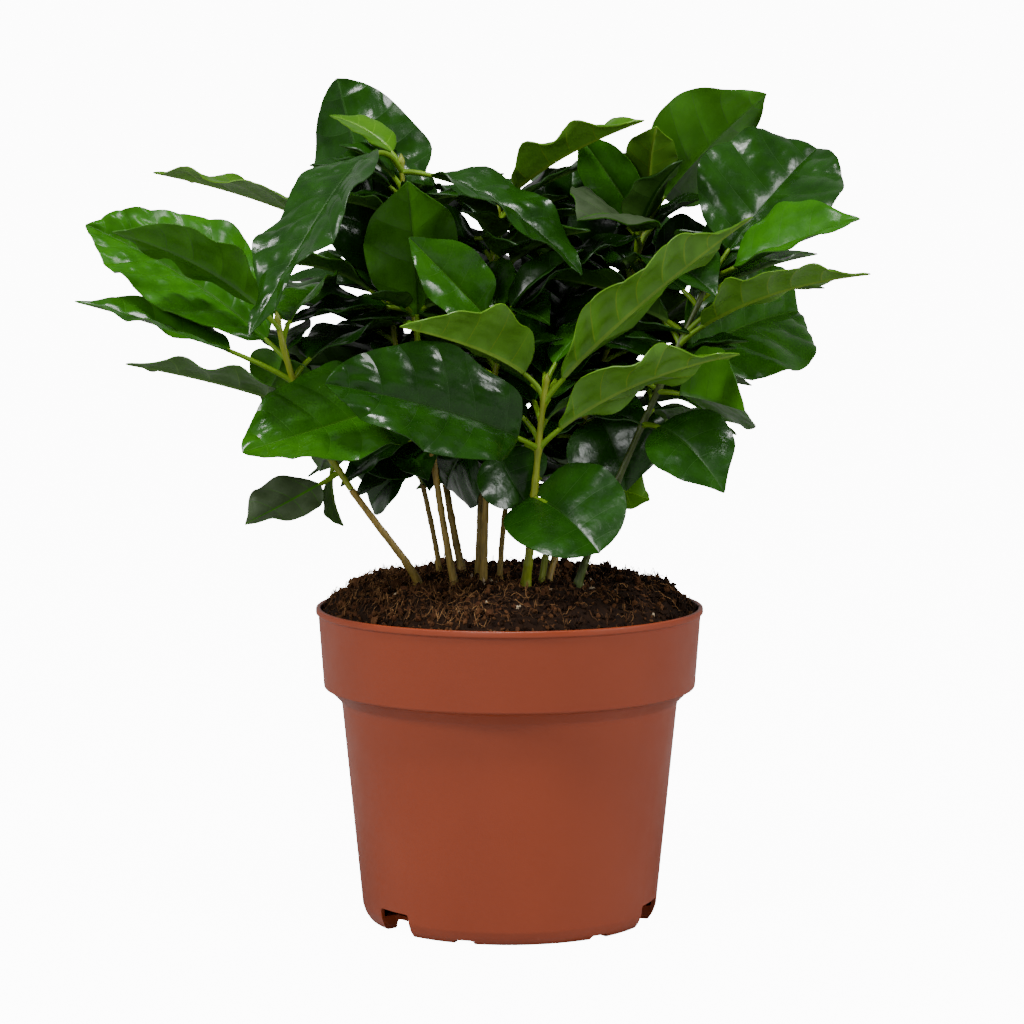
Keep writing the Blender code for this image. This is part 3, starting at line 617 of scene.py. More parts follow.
def mottle(tree, place, size_mm, low, high, detail=3.0):
    """Patches about size_mm across, as a mask from low to high."""
    cloud = add(tree, "ShaderNodeTexNoise", Vector=place, Scale=MM_OF_METRE / size_mm,
                Detail=detail)
    return add(tree, "ShaderNodeMapRange", Value=cloud.outputs["Fac"],
               From_Min=MASK_RANGE[0], From_Max=MASK_RANGE[1],
               To_Min=low, To_Max=high).outputs["Result"]


def colour_and_relief(tree, shader, mask, colours, height, depth_mm, strength=1.0):
    """Colour the shader with two linear colours mixed by a mask, and give it relief."""
    mix = add(tree, "ShaderNodeMix", {"data_type": "RGBA"}, i0=mask, i6=colours[0], i7=colours[1])
    tree.links.new(mix.outputs[2], shader.inputs["Base Color"])
    bump = add(tree, "ShaderNodeBump", Height=height, Distance=depth_mm * MM, Strength=strength)
    tree.links.new(bump.outputs["Normal"], shader.inputs["Normal"])


def leaf_finish(name, colour, other, roughness, wrinkle_mm=0.06, shine=0.35):
    """Living leaf: wax over green cells. The wax gives broad highlights that the small wrinkles
    between its finest veins break up, and the cells patches of a second green."""
    material, tree, shader, place = new_material(name)
    patches = mottle(tree, place, GREEN_PATCH_MM, 0.0, 1.0)
    wax = mottle(tree, place, WAX_PATCH_MM, roughness - WAX_SPREAD[0],
                 roughness + WAX_SPREAD[1])
    tree.links.new(wax, shader.inputs["Roughness"])
    shader.inputs["IOR"].default_value = WAX_IOR
    shader.inputs["Specular IOR Level"].default_value = shine
    cells = add(tree, "ShaderNodeTexNoise", Vector=place, Scale=MM_OF_METRE / CELL_MM, Detail=2.0)
    wrinkles = add(tree, "ShaderNodeTexNoise", Vector=place, Scale=MM_OF_METRE / WRINKLE_MM,
                   Detail=1.0)
    height = add(tree, "ShaderNodeMath", {"operation": "MULTIPLY_ADD"}, i0=cells.outputs["Fac"],
                 i1=CELL_SHARE, i2=wrinkles.outputs["Fac"])
    colours = linear(colour), linear(other)
    colour_and_relief(tree, shader, patches, colours, height.outputs[0], wrinkle_mm)
    return material


def bark_finish(name, colour, other, roughness):
    """Young stem: smooth skin that turns to thin cork. It gives streaks along the stem."""
    material, tree, shader, place = new_material(name)
    stretched = add(tree, "ShaderNodeMapping", Vector=place, Scale=(1.0, 1.0, STREAK_STRETCH))
    streaks = mottle(tree, stretched.outputs["Vector"], STREAK_MM, 0.0, 1.0)
    shader.inputs["Roughness"].default_value = roughness
    colours = linear(colour), linear(other)
    colour_and_relief(tree, shader, streaks, colours, streaks, STREAK_DEPTH_MM, strength=0.7)
    return material


def crumb_finish(name, colour, other, size_mm, roughness):
    """Moist peat or wood: matt, dark, with specks of a second brown."""
    material, tree, shader, place = new_material(name)
    specks = mottle(tree, place, size_mm, 0.0, 1.0, 5.0)
    shader.inputs["Roughness"].default_value = roughness
    shader.inputs["Specular IOR Level"].default_value = PEAT_SHINE
    grit = add(tree, "ShaderNodeTexNoise", Vector=place, Scale=MM_OF_METRE / GRIT_MM, Detail=4.0)
    colours = linear(colour), linear(other)
    colour_and_relief(tree, shader, specks, colours, grit.outputs["Fac"], GRIT_DEPTH_MM)
    return material


def pot_finish(settings):
    """Polypropylene, injection moulded: an even satin skin with a fine eggshell grain, a
    little chalkier in cloudy patches."""
    material, tree, shader, place = new_material("Polypropylene, injection moulded")
    cloudy = mottle(tree, place, CHALK_PATCH_MM, 0.0, CHALK_SHARE, 5.0)
    satin = mottle(tree, place, SATIN_PATCH_MM, *SATIN_ROUGHNESS)
    tree.links.new(satin, shader.inputs["Roughness"])
    shader.inputs["IOR"].default_value = PLASTIC_IOR
    shader.inputs["Specular IOR Level"].default_value = PLASTIC_SHINE
    grain = add(tree, "ShaderNodeTexNoise", Vector=place, Scale=MM_OF_METRE / GRAIN_MM, Detail=2.0)
    colours = settings.colour, settings.chalky
    colour_and_relief(tree, shader, cloudy, colours, grain.outputs["Fac"], GRAIN_DEPTH_MM,
                      strength=0.6)
    return material


# Each finish: the function that makes it, its name, and what it is given.
FINISHES = {
    # Painted shade: a darker copy of the full-grown upper side, for leaves deep in the crown.
    "painted_shade_upper": (leaf_finish, "Coffee leaf, upper side, shaded",
                   "0b2602", "133204", 0.24, 0.1, 0.3),
    "old_upper": (leaf_finish, "Coffee leaf, upper side, full grown",
                  "113404", "1b4506", 0.23, 0.11, 0.35),
    "mature_upper": (leaf_finish, "Coffee leaf, upper side, mature",
                     "1f5002", "2b6004", 0.23, 0.11, 0.35),
    "young_upper": (leaf_finish, "Coffee leaf, upper side, young",
                    "376406", "43720a", 0.33, 0.07, 0.25),
    # The fresh greens are partly the lighter green of new leaves and partly painted light: the glow
    # of backlit leaves that light shines through.
    "fresh_backlit_upper": (leaf_finish, "Coffee leaf, upper side, fresh",
                    "245a00", "2f6c00", 0.3, 0.08, 0.22),
    # Painted sheen: the dull leaves' grey green is the grey reflection of the white room, put into
    # their colour.
    "grey_sheen_upper": (leaf_finish, "Coffee leaf, upper side, dusty", "304024", "3e4c32", 0.45),
    "old_under": (leaf_finish, "Coffee leaf, underside, full grown", "34561a", "3e6422", 0.45),
    "young_under": (leaf_finish, "Coffee leaf, underside, young", "4e7c1e", "5a8a28", 0.42),
    "fresh_backlit_under": (leaf_finish, "Coffee leaf, underside, fresh",
                    "2e6402", "3a7206", 0.38, 0.06, 0.25),
    "old_vein": (leaf_finish, "Leaf vein, full grown", "1a3e0a", "22480e", 0.32),
    "mature_vein": (leaf_finish, "Leaf vein, mature", "2c5a0c", "366612", 0.32),
    "young_vein": (leaf_finish, "Leaf vein, young", "527e14", "5e8c1c", 0.36),
    "old_rib": (leaf_finish, "Leaf rib, underside, full grown", "486c26", "54782e", 0.45),
    "pale_rib": (leaf_finish, "Leaf rib, underside, young", "628622", "6e922c", 0.42),
    "stalk": (leaf_finish, "Leaf stalk, green", "5c8010", "6a9018", 0.42),
    "green_stem": (bark_finish, "Coffee stem, green skin", "6a7a0c", "828e1a", 0.45),
    # Stem 11's dark green is partly its own and partly painted shade, darkened so that it sinks
    # into the shadow among the leaves.
    "shaded_dark_green_stem": (bark_finish, "Coffee stem, dark green skin", "33420a", "445412", 0.5),
    "brown_stem": (bark_finish, "Coffee stem, first bark", "6c5a1c", "91782e", 0.55),
    "peat": (crumb_finish, "Peat, moist", "120702", "241305", 1.8, 0.92),
    "brown_crumb": (crumb_finish, "Peat, dried brown crumb", "3c240f", "5a3a22", 1.2, 0.95),
    "red_crumb": (crumb_finish, "Peat, red-brown crumb", "38200f", "4c2e1a", 1.2, 0.95),
    "fibre": (crumb_finish, "Plant fibre, dry", "68462a", "8c6840", 0.8, 0.8),
    "dark_fibre": (crumb_finish, "Plant fibre, moist", "3a2414", "523720", 0.8, 0.85),
    "pale_chip": (crumb_finish, "Wood chip and perlite, pale", "8e7a60", "b5a58a", 0.9, 0.85),
}


FINISH_NAMES = list(FINISHES)


def finish_index(name):
    return FINISH_NAMES.index(name)


def finish(name):
    """The material of one finish, made when it is first asked for."""
    maker, title, *given = FINISHES[name]
    return bpy.data.materials.get(title) or maker(title, *given)


def dress(piece, slot_name, *replaced):
    """Put a finished piece on the root body, in place of its solids. slot_name is not used."""
    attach(piece, "root")
    if replaced:
        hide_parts(*replaced)


def give_finishes(piece):
    """Keep only the finishes that the piece's faces use, as its materials."""
    polygons = piece.data.polygons
    used = np.empty(len(polygons), np.int32)
    polygons.foreach_get("material_index", used)
    kinds, compact = np.unique(used, return_inverse=True)
    for kind in kinds:
        piece.data.materials.append(finish(FINISH_NAMES[kind]))
    polygons.foreach_set("material_index", compact.astype(np.int32).ravel())


def deselect():
    bpy.ops.object.select_all(action="DESELECT")


def select_only(piece):
    deselect()
    piece.select_set(True)
    bpy.context.view_layer.objects.active = piece


def smooth(piece, angle):
    select_only(piece)
    bpy.ops.object.shade_smooth_by_angle(angle=math.radians(angle))


# ---------------------------------------------------------------- growing the leaves again

Age = namedtuple("Age", "upper under vein under_vein")
AGES = {
    # dark: the full-grown leaf with painted shade on its upper side.
    "dark": Age("painted_shade_upper", "old_under", "old_vein", "old_vein"),
    "old": Age("old_upper", "old_under", "old_vein", "old_rib"),
    "mature": Age("mature_upper", "old_under", "mature_vein", "old_rib"),
    "young": Age("young_upper", "young_under", "young_vein", "pale_rib"),
    # fresh: new leaves, with painted light shining through them.
    "fresh": Age("fresh_backlit_upper", "fresh_backlit_under", "mature_vein", "mature_vein"),
    "deep": Age("mature_upper", "old_upper", "mature_vein", "old_vein"),
    # dull: a painted grey sheen on the upper side.
    "dull": Age("grey_sheen_upper", "old_under", "mature_vein", "old_rib"),
}
# The age of each main leaf, in the order of their table; dark is no age but painted shade.
MAIN_AGES = ("old young young young old fresh old old old deep "
             "fresh mature fresh mature mature mature young dull old fresh "
             "old old old fresh fresh old dull fresh young young "
             "mature fresh old old old young old old old old dark dark").split()
# Main leaves with blunt tips, and those with the boldest bulges, counted from 0.
BLUNT_LEAVES = (0, 8, 9, 13, 22, 30)
QUILTED_LEAVES = (8, 12, 22, 25, 30)
RULE_AGES = ("old", "mature", "old", "mature", "young")


def fits(shape, tree):
    """True where the leaf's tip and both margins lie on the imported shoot."""
    marks = [shape.point(1.0, 0.0)]
    middle = shape.stations()[MATCH_STATION]
    marks += [shape.point(middle, -1.0), shape.point(middle, 1.0)]
    return all(tree.find(mark * MM)[2] < MATCH * MM for mark in marks)


def vertex_tree(node_name):
    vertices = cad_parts[node_name].data.vertices
    tree = KDTree(len(vertices))
    for index, vertex in enumerate(vertices):
        tree.insert(vertex.co, index)
    tree.balance()
    return tree


def packed_leaves():
    """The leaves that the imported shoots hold, each as (shape, age, detail)."""
    trees = {number: vertex_tree(f"shoot_{number:02d}") for number in SHOOTS}
    leaves = []
    for index, row in enumerate(MAIN_LEAVES):
        for shape in main_candidates(index, row):
            if fits(shape, trees[row.stem]):
                shape.blunt = index in BLUNT_LEAVES
                shape.relief = QUILTED if index in QUILTED_LEAVES else 1.0
                leaves.append((shape, MAIN_AGES[index], FULL_DETAIL))
                break
    for lap, (nodes, _, _) in enumerate(ROUNDS):
        for joint, number, side in product(range(nodes), SHOOTS, (0, 1)):
            for shape in rule_candidates(number, lap, joint, side):
                if fits(shape, trees[number]):
                    leaves.append((shape, rule_age(number, joint, side), FULL_DETAIL))
                    break
    return leaves


def rule_age(number, joint, side):
    """The age of one leaf of the rule, drawn with a seed of its own."""
    return random.Random(SEED + number * 50 + joint * 4 + side).choice(RULE_AGES)


def tree_of_rings(points, ring):
    """A search tree of the tube whose rings of points follow one another."""
    faces = []
    for start in range(0, len(points) - ring, ring):
        for side in range(ring):
            a, b = start + side, start + (side + 1) % ring
            faces.append((a, b, b + ring, a + ring))
    return BVHTree.FromPolygons(points, faces)


def leaf_tree(shape):
    """A search tree of a blade's two faces, held a little apart."""
    points = []
    for share in shape.stations()[2:]:
        left, middle, right = (shape.point(share, v) for v in (-1, 0, 1))
        normal = (right - left).cross(shape.direction(share)).normalized() * FILL_CLEARANCE
        points += [place + normal for place in (left, middle, right)]
        points += [place - normal for place in (right, middle, left)]
    return tree_of_rings(points, ring=6)


def in_crown(shape):
    """True where the leaf stays in the crown's space."""
    edges = [shape.point(share, v) for share in shape.stations()[2:] for v in (-1, 0, 1)]
    for point in edges:
        if point.y < FRONT_LIMIT:
            return False
        if (point.x / CROWN_HALF_WIDTH) ** 2 + (point.y / CROWN_HALF_DEPTH) ** 2 > 1:
            return False
        nearer = VIEW_DISTANCE / (VIEW_DISTANCE + point.y)
        x, z = point.x * nearer, VIEW_HEIGHT + (point.z - VIEW_HEIGHT) * nearer
        top, bottom = read_line(CROWN_TOP, x), read_line(CROWN_BOTTOM, x)
        if top is None or bottom is None or not bottom <= z <= top - FILL_LOWER:
            return False
    return True


def grow_crown():
    """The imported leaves, and then smaller ones that the same rule finds room for."""
    leaves = packed_leaves()
    trees = [leaf_tree(shape) for shape, _, _ in leaves]
    for lap, (nodes, _, _) in enumerate(FINE_ROUNDS, len(ROUNDS)):
        for joint, number, side in product(reversed(range(nodes)), RULE_ORDER, (0, 1)):
            for shape in rule_candidates(number, lap, joint, side):
                if not in_crown(shape):
                    continue
                tree = leaf_tree(shape)
                if not any(tree.overlap(other) for other in trees):
                    # Every other fill leaf takes the dark age, with painted shade for the crown's
                    # inside.
                    leaves.append((shape, "dark" if joint % 2 else "old", FINE_DETAIL))
                    trees.append(tree)
                    break
    crown = {number: [] for number in SHOOTS}
    for entry in leaves:
        crown[entry[0].row.stem].append(entry)
    return crown


# ---------------------------------------------------------------- one fine leaf

def wave_at(share, waves, phase):
    """A wave along a margin, from -1 to 1."""
    return math.sin(math.tau * (waves * share + phase))


class Skin:
    """The relief of one leaf: veins, the bulges between them and its waved margin."""

    def __init__(self, shape, settings, seed):
        self.shape = shape
        self.settings = settings
        self.blunt = getattr(shape, "blunt", False)
        self.relief = getattr(shape, "relief", 1.0)
        self.blade_length = shape.row.reach * (1 - shape.petiole)
        self.size = min(1.0, self.blade_length / FULL_SIZE)
        count = round(self.blade_length / (settings.vein_spacing / MM))
        self.count = clamp(count, *VEIN_PAIRS)
        spice = random.Random(seed)
        places = [lerp(FIRST_VEIN, LAST_VEIN, ((i + 0.5) / self.count) ** VEIN_CROWDING)
                  + spice.uniform(-VEIN_LOOSE, VEIN_LOOSE) for i in range(self.count)]
        self.places = [0.0] + places + [1.0]
        # The rest has one entry for each side of the midrib.
        self.slant = [spice.uniform(*SLANT_LOOSE) * VEIN_SLANT for _ in range(2)]
        self.bulges = [[spice.uniform(*BULGE_LOOSE) for _ in self.places] for _ in range(2)]
        self.creases = [[spice.uniform(0, 1) for _ in self.places] for _ in range(2)]
        self.taper = 0.0 if self.blunt else spice.uniform(*TAPER_LOOSE)
        self.lobes = [(spice.uniform(*LOBE_WAVES), spice.uniform(0, 1)) for _ in range(2)]
        self.frills = [(spice.uniform(*FRILL_WAVES), spice.uniform(0, 1)) for _ in range(2)]
        self.curl = [spice.uniform(*CURL_LOOSE) for _ in range(2)]

    def half_width(self, blade, side):
        """Half the blade's width: full in its middle, drawn out to a slender tip."""
        row = self.shape.row
        lobe = wave_at(blade, *self.lobes[side]) * math.sin(math.pi * blade)
        lobe *= self.settings.lobes * self.size
        if row.kind == ROUND:
            off_middle = abs(2 * blade ** ROUND_SHIFT - 1) ** ROUND_POWER
            half = 0.5 * row.width * max(1 - off_middle, 0.0) ** 0.5
            lobe *= ROUND_LOBES
        else:
            shift, fullness = BLUNT_OUTLINE if self.blunt else SLENDER_OUTLINE
            body = max(math.sin(math.pi * blade ** shift), 0.0) ** fullness
            near_tip = clamp((blade - TAPER_START) / (1 - TAPER_START))
            body *= 1 - self.taper * near_tip * near_tip * (3 - 2 * near_tip)
            half = 0.5 * row.width * body
            half += TIP_HALF * (1 - blade) * min(1.0, BASE_START * blade)
        return max(half * (1 + lobe), TIP_HALF * TIP_EDGE)

    def vein_half(self, place, out):
        """Half a side vein's width as a share of the blade."""
        if place in (0.0, 1.0):
            return 0.0
        return VEIN_WIDTH / 2 / self.blade_length * (1 - VEIN_THINNING * out)

    def share_at(self, interval, t, out, side):
        """How far along the blade a row runs at a distance out from the midrib."""
        low, high = self.places[interval], self.places[interval + 1]
        start = low + self.vein_half(low, out)
        along = lerp(start, high - self.vein_half(high, out), t)
        fade = (1 - (1 - along) ** SLANT_FADE[0]) * (1 - along ** SLANT_FADE[1])
        slant = self.slant[side] * lerp(out, out * out, SLANT_CURVE)
        return clamp(along + slant * fade)

    def lift(self, blade, v, out, side, half, interval, t):
        """Height of the upper face over the leaf's flat surface."""
        settings, size = self.settings, abs(v)
        room = min(1, half / RIPPLE_WIDTH) * self.size ** SIZE_POWER
        bow = (1 + FOLD_BOW) * size - FOLD_BOW * v * v
        lift = half * math.sin(self.shape.fold) * bow
        lift += settings.wave * self.shape.ripple_at(blade, v) * room
        lift += settings.frill / MM * wave_at(blade, *self.frills[side]) * size ** 3 * room
        lift += self.curl[side] * half * CURL_DEPTH * max(0.0, size - CURL_START) ** 2
        span = (self.places[interval + 1] - self.places[interval]) * self.blade_length
        bulge = math.sin(math.pi * t) ** BULGE_FLATNESS if 0 < t < 1 else 0.0
        crease = wave_at(out, half / CREASE_SPACING, self.creases[side][interval])
        bulge *= self.bulges[side][interval] * (1 + CREASE_DEPTH * crease)
        shoulder = min(1.0, out * BULGE_START) * (1 - BULGE_FADE * out ** 3)
        return lift + settings.quilting * self.relief * span * bulge * shoulder * room

    def place(self, interval, t, column, columns):
        """A point of the upper face and the depth of the underside's rib there."""
        shape = self.shape
        side = 0 if column < 0 else 1
        out = max(0, abs(column) - 1) / (columns - 1)
        blade = self.share_at(interval, t, out, side)
        here, run, normal, across = shape.frame_at(lerp(shape.petiole, 1.0, blade))
        stalk = lerp(PETIOLE_TIP, 0.0, min(1.0, blade * BASE_START))
        half = max(self.half_width(blade, side), stalk)
        rib = min(lerp(*MIDRIB, blade), RIB_LIMIT * half)
        v = lerp(rib / half, 1.0, out) * (-1 if column < 0 else 1) if column else 0.0
        lift = self.lift(blade, v, out, side, half, interval, t)
        if column == 0:
            lift -= RIB_GROOVE * rib
        here = here - run * shape.set_back(blade, v)
        point = here + across * (v * half * math.cos(shape.fold)) + normal * lift
        ridge = 0.0
        if abs(column) <= 1:
            ridge = rib * RIB_RIDGE[abs(column)]
        elif t in (0, 1) and 0 < out < 1:
            ridge = SIDE_RIDGE * (1 - out)
        return point, ridge

    def grid(self, columns, steps):
        points, ridges, vein_rows = [], [], []
        for interval in range(self.count + 1):
            for step in range(steps + 1):
                t = step / steps
                row = [self.place(interval, t, column, columns)
                       for column in range(-columns, columns + 1)]
                points.append([entry[0] for entry in row])
                ridges.append([entry[1] for entry in row])
                vein_rows.append(step == steps and interval < self.count)
        return np.array(points), np.array(ridges), vein_rows


def leaf_arrays(shape, age, settings, seed, detail):
    """One leaf as vertices in millimetres, four-sided faces and a finish for each face."""
    skin = Skin(shape, settings, seed)
    upper, ridges, vein_rows = skin.grid(*detail)
    rows, columns = upper.shape[:2]
    along = np.gradient(upper, axis=0)
    across = np.gradient(upper, axis=1)
    normal = np.cross(across, along)
    normal /= np.maximum(np.linalg.norm(normal, axis=2, keepdims=True), 1e-9)
    normal[0], normal[-1] = normal[1], normal[-2]
    under = upper - normal * (settings.thickness / MM + ridges)[:, :, None]
    vertices = np.concatenate([upper.reshape(-1, 3), under.reshape(-1, 3)])
    index = np.arange(rows * columns).reshape(rows, columns)
    a, b, c, d = index[:-1, :-1], index[:-1, 1:], index[1:, 1:], index[1:, :-1]
    top = np.stack([a, b, c, d], axis=-1)
    below = top[..., ::-1] + rows * columns
    middle = columns // 2
    is_vein = np.zeros((rows - 1, columns - 1), bool)
    is_vein[:, middle - 1:middle + 1] = True
    is_vein[np.array(vein_rows[:-1])] = True
    kinds = AGES[age]
    vein, under_vein = finish_index(kinds.vein), finish_index(kinds.under_vein)
    top_finish = np.where(is_vein, vein, finish_index(kinds.upper))
    below_finish = np.where(is_vein, under_vein, finish_index(kinds.under))
    loop = np.concatenate([index[0, :-1], index[:-1, -1], index[-1, :0:-1], index[:0:-1, 0]])
    nxt = np.roll(loop, -1)
    rim = np.stack([nxt, loop, loop + rows * columns, nxt + rows * columns], axis=-1)
    faces = np.concatenate([top.reshape(-1, 4), below.reshape(-1, 4), rim])
    finishes = np.concatenate([top_finish.ravel(), below_finish.ravel(),
                               np.full(len(rim), vein)])
    return vertices, faces, finishes


def joined_mesh(name, parts):
    """One object from (vertices, faces, finishes) arrays, in millimetres."""
    offsets = np.cumsum([0] + [len(vertices) for vertices, _, _ in parts])
    vertices = np.concatenate([part[0] for part in parts]) * MM
    faces = np.concatenate([part[1] + offset for part, offset in zip(parts, offsets)])
    finishes = np.concatenate([part[2] for part in parts])
    mesh = bpy.data.meshes.new(name)
    corners = faces.shape[1]
    mesh.vertices.add(len(vertices))
    mesh.vertices.foreach_set("co", vertices.ravel().astype(np.float32))
    mesh.loops.add(faces.size)
    mesh.loops.foreach_set("vertex_index", faces.ravel().astype(np.int32))
    mesh.polygons.add(len(faces))
    mesh.polygons.foreach_set("loop_start", np.arange(0, faces.size, corners, dtype=np.int32))
    mesh.polygons.foreach_set("material_index", finishes.astype(np.int32))
    mesh.update(calc_edges=True)
    mesh.validate()
    piece = bpy.data.objects.new(name, mesh)
    bpy.context.scene.collection.objects.link(piece)
    return piece


# ---------------------------------------------------------------- tubes

def frame_along(points):
    """Two directions square to a line of points at each of them, carried on without twist."""
    runs = np.gradient(points, axis=0)
    runs /= np.linalg.norm(runs, axis=1, keepdims=True)
    side = np.cross(runs[0], START_SIDE)
    sides = []
    for run in runs:
        side = side - run * side.dot(run)
        side /= np.linalg.norm(side)
        sides.append(side)
    sides = np.array(sides)
    return sides, np.cross(runs, sides)


def tube_arrays(points, radii, ring, finish, relief=None):
    """A tube with closed ends through points in millimetres. relief adds to its radius."""
    points = np.array([tuple(point) for point in points], float)
    sides, ups = frame_along(points)
    radii = np.array(radii, float)[:, None]
    if relief is not None:
        radii = radii + relief
    turn = np.linspace(0, math.tau, ring, endpoint=False)
    rings = (points[:, None] + sides[:, None] * (np.cos(turn) * radii)[..., None]
             + ups[:, None] * (np.sin(turn) * radii)[..., None])
    count = len(points)
    index = np.arange(count * ring).reshape(count, ring)
    nxt = np.roll(index, -1, axis=1)
    wall = np.stack([index[:-1], nxt[:-1], nxt[1:], index[1:]], axis=-1).reshape(-1, 4)
    low, high = count * ring, count * ring + 1
    caps = []
    for k in range(0, ring, 2):
        a, b, c = k, k + 1, (k + 2) % ring
        caps += [(low, *index[0][[c, b, a]]), (high, *index[-1][[a, b, c]])]
    vertices = np.concatenate([rings.reshape(-1, 3), points[:1], points[-1:]])
    faces = np.concatenate([wall, np.array(caps)])
    return vertices, faces, np.full(len(faces), finish)


# ---------------------------------------------------------------- stems

def swelling(share, places, reach):
    """How near a share of the stem is to a node, from 0 to 1."""
    return sum(math.exp(-((share - place) / reach) ** 2) for place in places)


def bark_arrays(number, seedling, relief_depth):
    """The bare stem: fine rings, with fissures along it and a few old leaf scars."""
    length = stem_length(seedling)
    count = round(seedling.bare * length / BARK_STEP)
    shares = [seedling.bare * i / count for i in range(count + 1)]
    points = [stem_foot(seedling)] + [stem_point(seedling, share) for share in shares]
    scars = [seedling.bare * place for place in SCARS]
    radii = [seedling.radius * (1 + BARK_FLARE)]
    for share in shares:
        flare = BARK_FLARE * math.exp(-share * length / FLARE_REACH)
        ring = SCAR_SWELLING * swelling(share, scars, SCAR_REACH / length)
        radii.append(stem_radius(seedling, share) * (1 + flare + ring))
    relief = np.zeros((len(points), STEM_RING))
    for i, point in enumerate(points):
        height = point.z * BARK_STRETCH + number * BARK_SHIFT
        for j in range(STEM_RING):
            turn = math.tau * j / STEM_RING
            spot = Vector((math.cos(turn) * BARK_GRAIN, math.sin(turn) * BARK_GRAIN, height))
            relief[i, j] = relief_depth * noise.fractal(spot, *BARK_NOISE)
    colour = STEM_COLOURS.get(number, "brown_stem")
    return tube_arrays(points, radii, STEM_RING, finish_index(colour), relief)


def green_arrays(number, seedling, shapes):
    """The green stem in a shoot, swollen where leaves join, its bud, and the leaf stalks."""
    length = stem_length(seedling)
    start = seedling.bare + GAP / length
    count = round((1 - start) * length / GREEN_STEP)
    shares = [lerp(start, 1.0, i / count) for i in range(count + 1)]
    joints = sorted({round(shape.row.at, 2) for shape, _, _ in shapes})
    points = [stem_point(seedling, share) for share in shares]
    radii = []
    for share in shares:
        node = NODE_SWELLING * swelling(share, joints, NODE_REACH / length)
        radii.append(stem_radius(seedling, share) * (1 + node))
    run = (points[-1] - points[-2]).normalized()
    for step, width in enumerate(BUD_PROFILE, 1):
        points.append(points[count] + run * (BUD_LENGTH * step / len(BUD_PROFILE)))
        radii.append(TIP_RADIUS * width)
    colour = STEM_COLOURS.get(number, "green_stem")
    parts = [tube_arrays(points, radii, GREEN_RING, finish_index(colour))]
    steps = [i / PETIOLE_STEPS for i in range(PETIOLE_STEPS + 1)]
    for shape, _, _ in shapes:
        stalk = shape.petiole * PETIOLE_OVERLAP
        points = [shape.centre(stalk * step) - shape.face * PETIOLE_DROP for step in steps]
        radii = [lerp(*PETIOLE_RADII, step) for step in steps]
        parts.append(tube_arrays(points, radii, PETIOLE_RING, finish_index("stalk")))
    return parts


# ---------------------------------------------------------------- scattered small things

def lump_template(level):
    """An even ball of triangles, as arrays."""
    bpy.ops.mesh.primitive_ico_sphere_add(subdivisions=level, radius=1.0)
    ball = bpy.context.active_object
    vertices = np.array([vertex.co for vertex in ball.data.vertices])
    faces = np.array([list(polygon.vertices) for polygon in ball.data.polygons])
    bpy.data.objects.remove(ball, do_unlink=True)
    return vertices, faces


def turned_by(vertices, turns):
    """The vertices turned about the three axes, one after another."""
    spins = [Matrix.Rotation(turn, 3, axis) for turn, axis in zip(turns, "XYZ")]
    return vertices @ np.array(spins[0] @ spins[1] @ spins[2])


def ground_at(x, y):
    """Height of the crumbly peat surface."""
    out = math.hypot(x, y) / soil_edge_radius()
    edge = max(0.0, 1 - max(0.0, out - EVEN_EDGE) / (1 - EVEN_EDGE))
    spot = Vector((x, y, SWELL_LEVEL))
    rough = sum(height * noise.fractal(spot / size, loss, SWELL_STEP, finer)
                for size, height, loss, finer in SWELLS)
    return SOIL_EDGE_HEIGHT + SOIL_HEAP * (1 - min(out, 1) ** HEAP_POWER) + edge * rough


def brown_share(x, y):
    """Share of brown crumbs: larger to the left and to the front, with patches."""
    size, strength = DRY_PATCH
    patch = strength * noise.noise(Vector((x, y, PATCH_LEVEL)) / size)
    dry = BROWN_MIDDLE - x / BROWN_LEFT - (y - BROWN_FRONT_LINE) / BROWN_FRONT + patch
    return clamp(dry, *BROWN_RANGE)


def spot_on_peat(spice, spread):
    """A place dealt evenly over the peat: its distance from the middle and its turn."""
    return soil_edge_radius() * math.sqrt(spice.random()) * spread, spice.uniform(0, math.tau)


def scatter(spice, count, sizes, template, moist, dry, sink=SINK, flat=FLATNESS, longer=1.0):
    """Lumps of a template dealt over the peat, each turned, squashed and dented."""
    base, base_faces = template
    parts = []
    for _ in range(count):
        radius, turn = spot_on_peat(spice, SPREAD)
        x, y = radius * math.cos(turn), radius * math.sin(turn)
        size = sizes[0] * (sizes[1] / sizes[0]) ** (spice.random() ** SMALLER_MORE)
        stretch = np.array([spice.uniform(*STRETCH_LONG) * longer, spice.uniform(*STRETCH_WIDE),
                            spice.uniform(*flat)])
        dents = np.array([spice.uniform(*DENTS) for _ in range(len(base))])[:, None]
        turns = [spice.uniform(0, math.tau) for _ in "XYZ"]
        vertices = turned_by(base * dents * stretch * size, turns)
        at_wall = soil_edge_radius() - radius <= size
        lift = EDGE_LIFT * size if at_wall else size * (1 - sink)
        vertices = vertices + np.array((x, y, ground_at(x, y) + lift * 0.5))
        kind = spice.choice(dry if spice.random() < brown_share(x, y) else moist)
        parts.append((vertices, base_faces, np.full(len(base_faces), finish_index(kind))))
    return parts


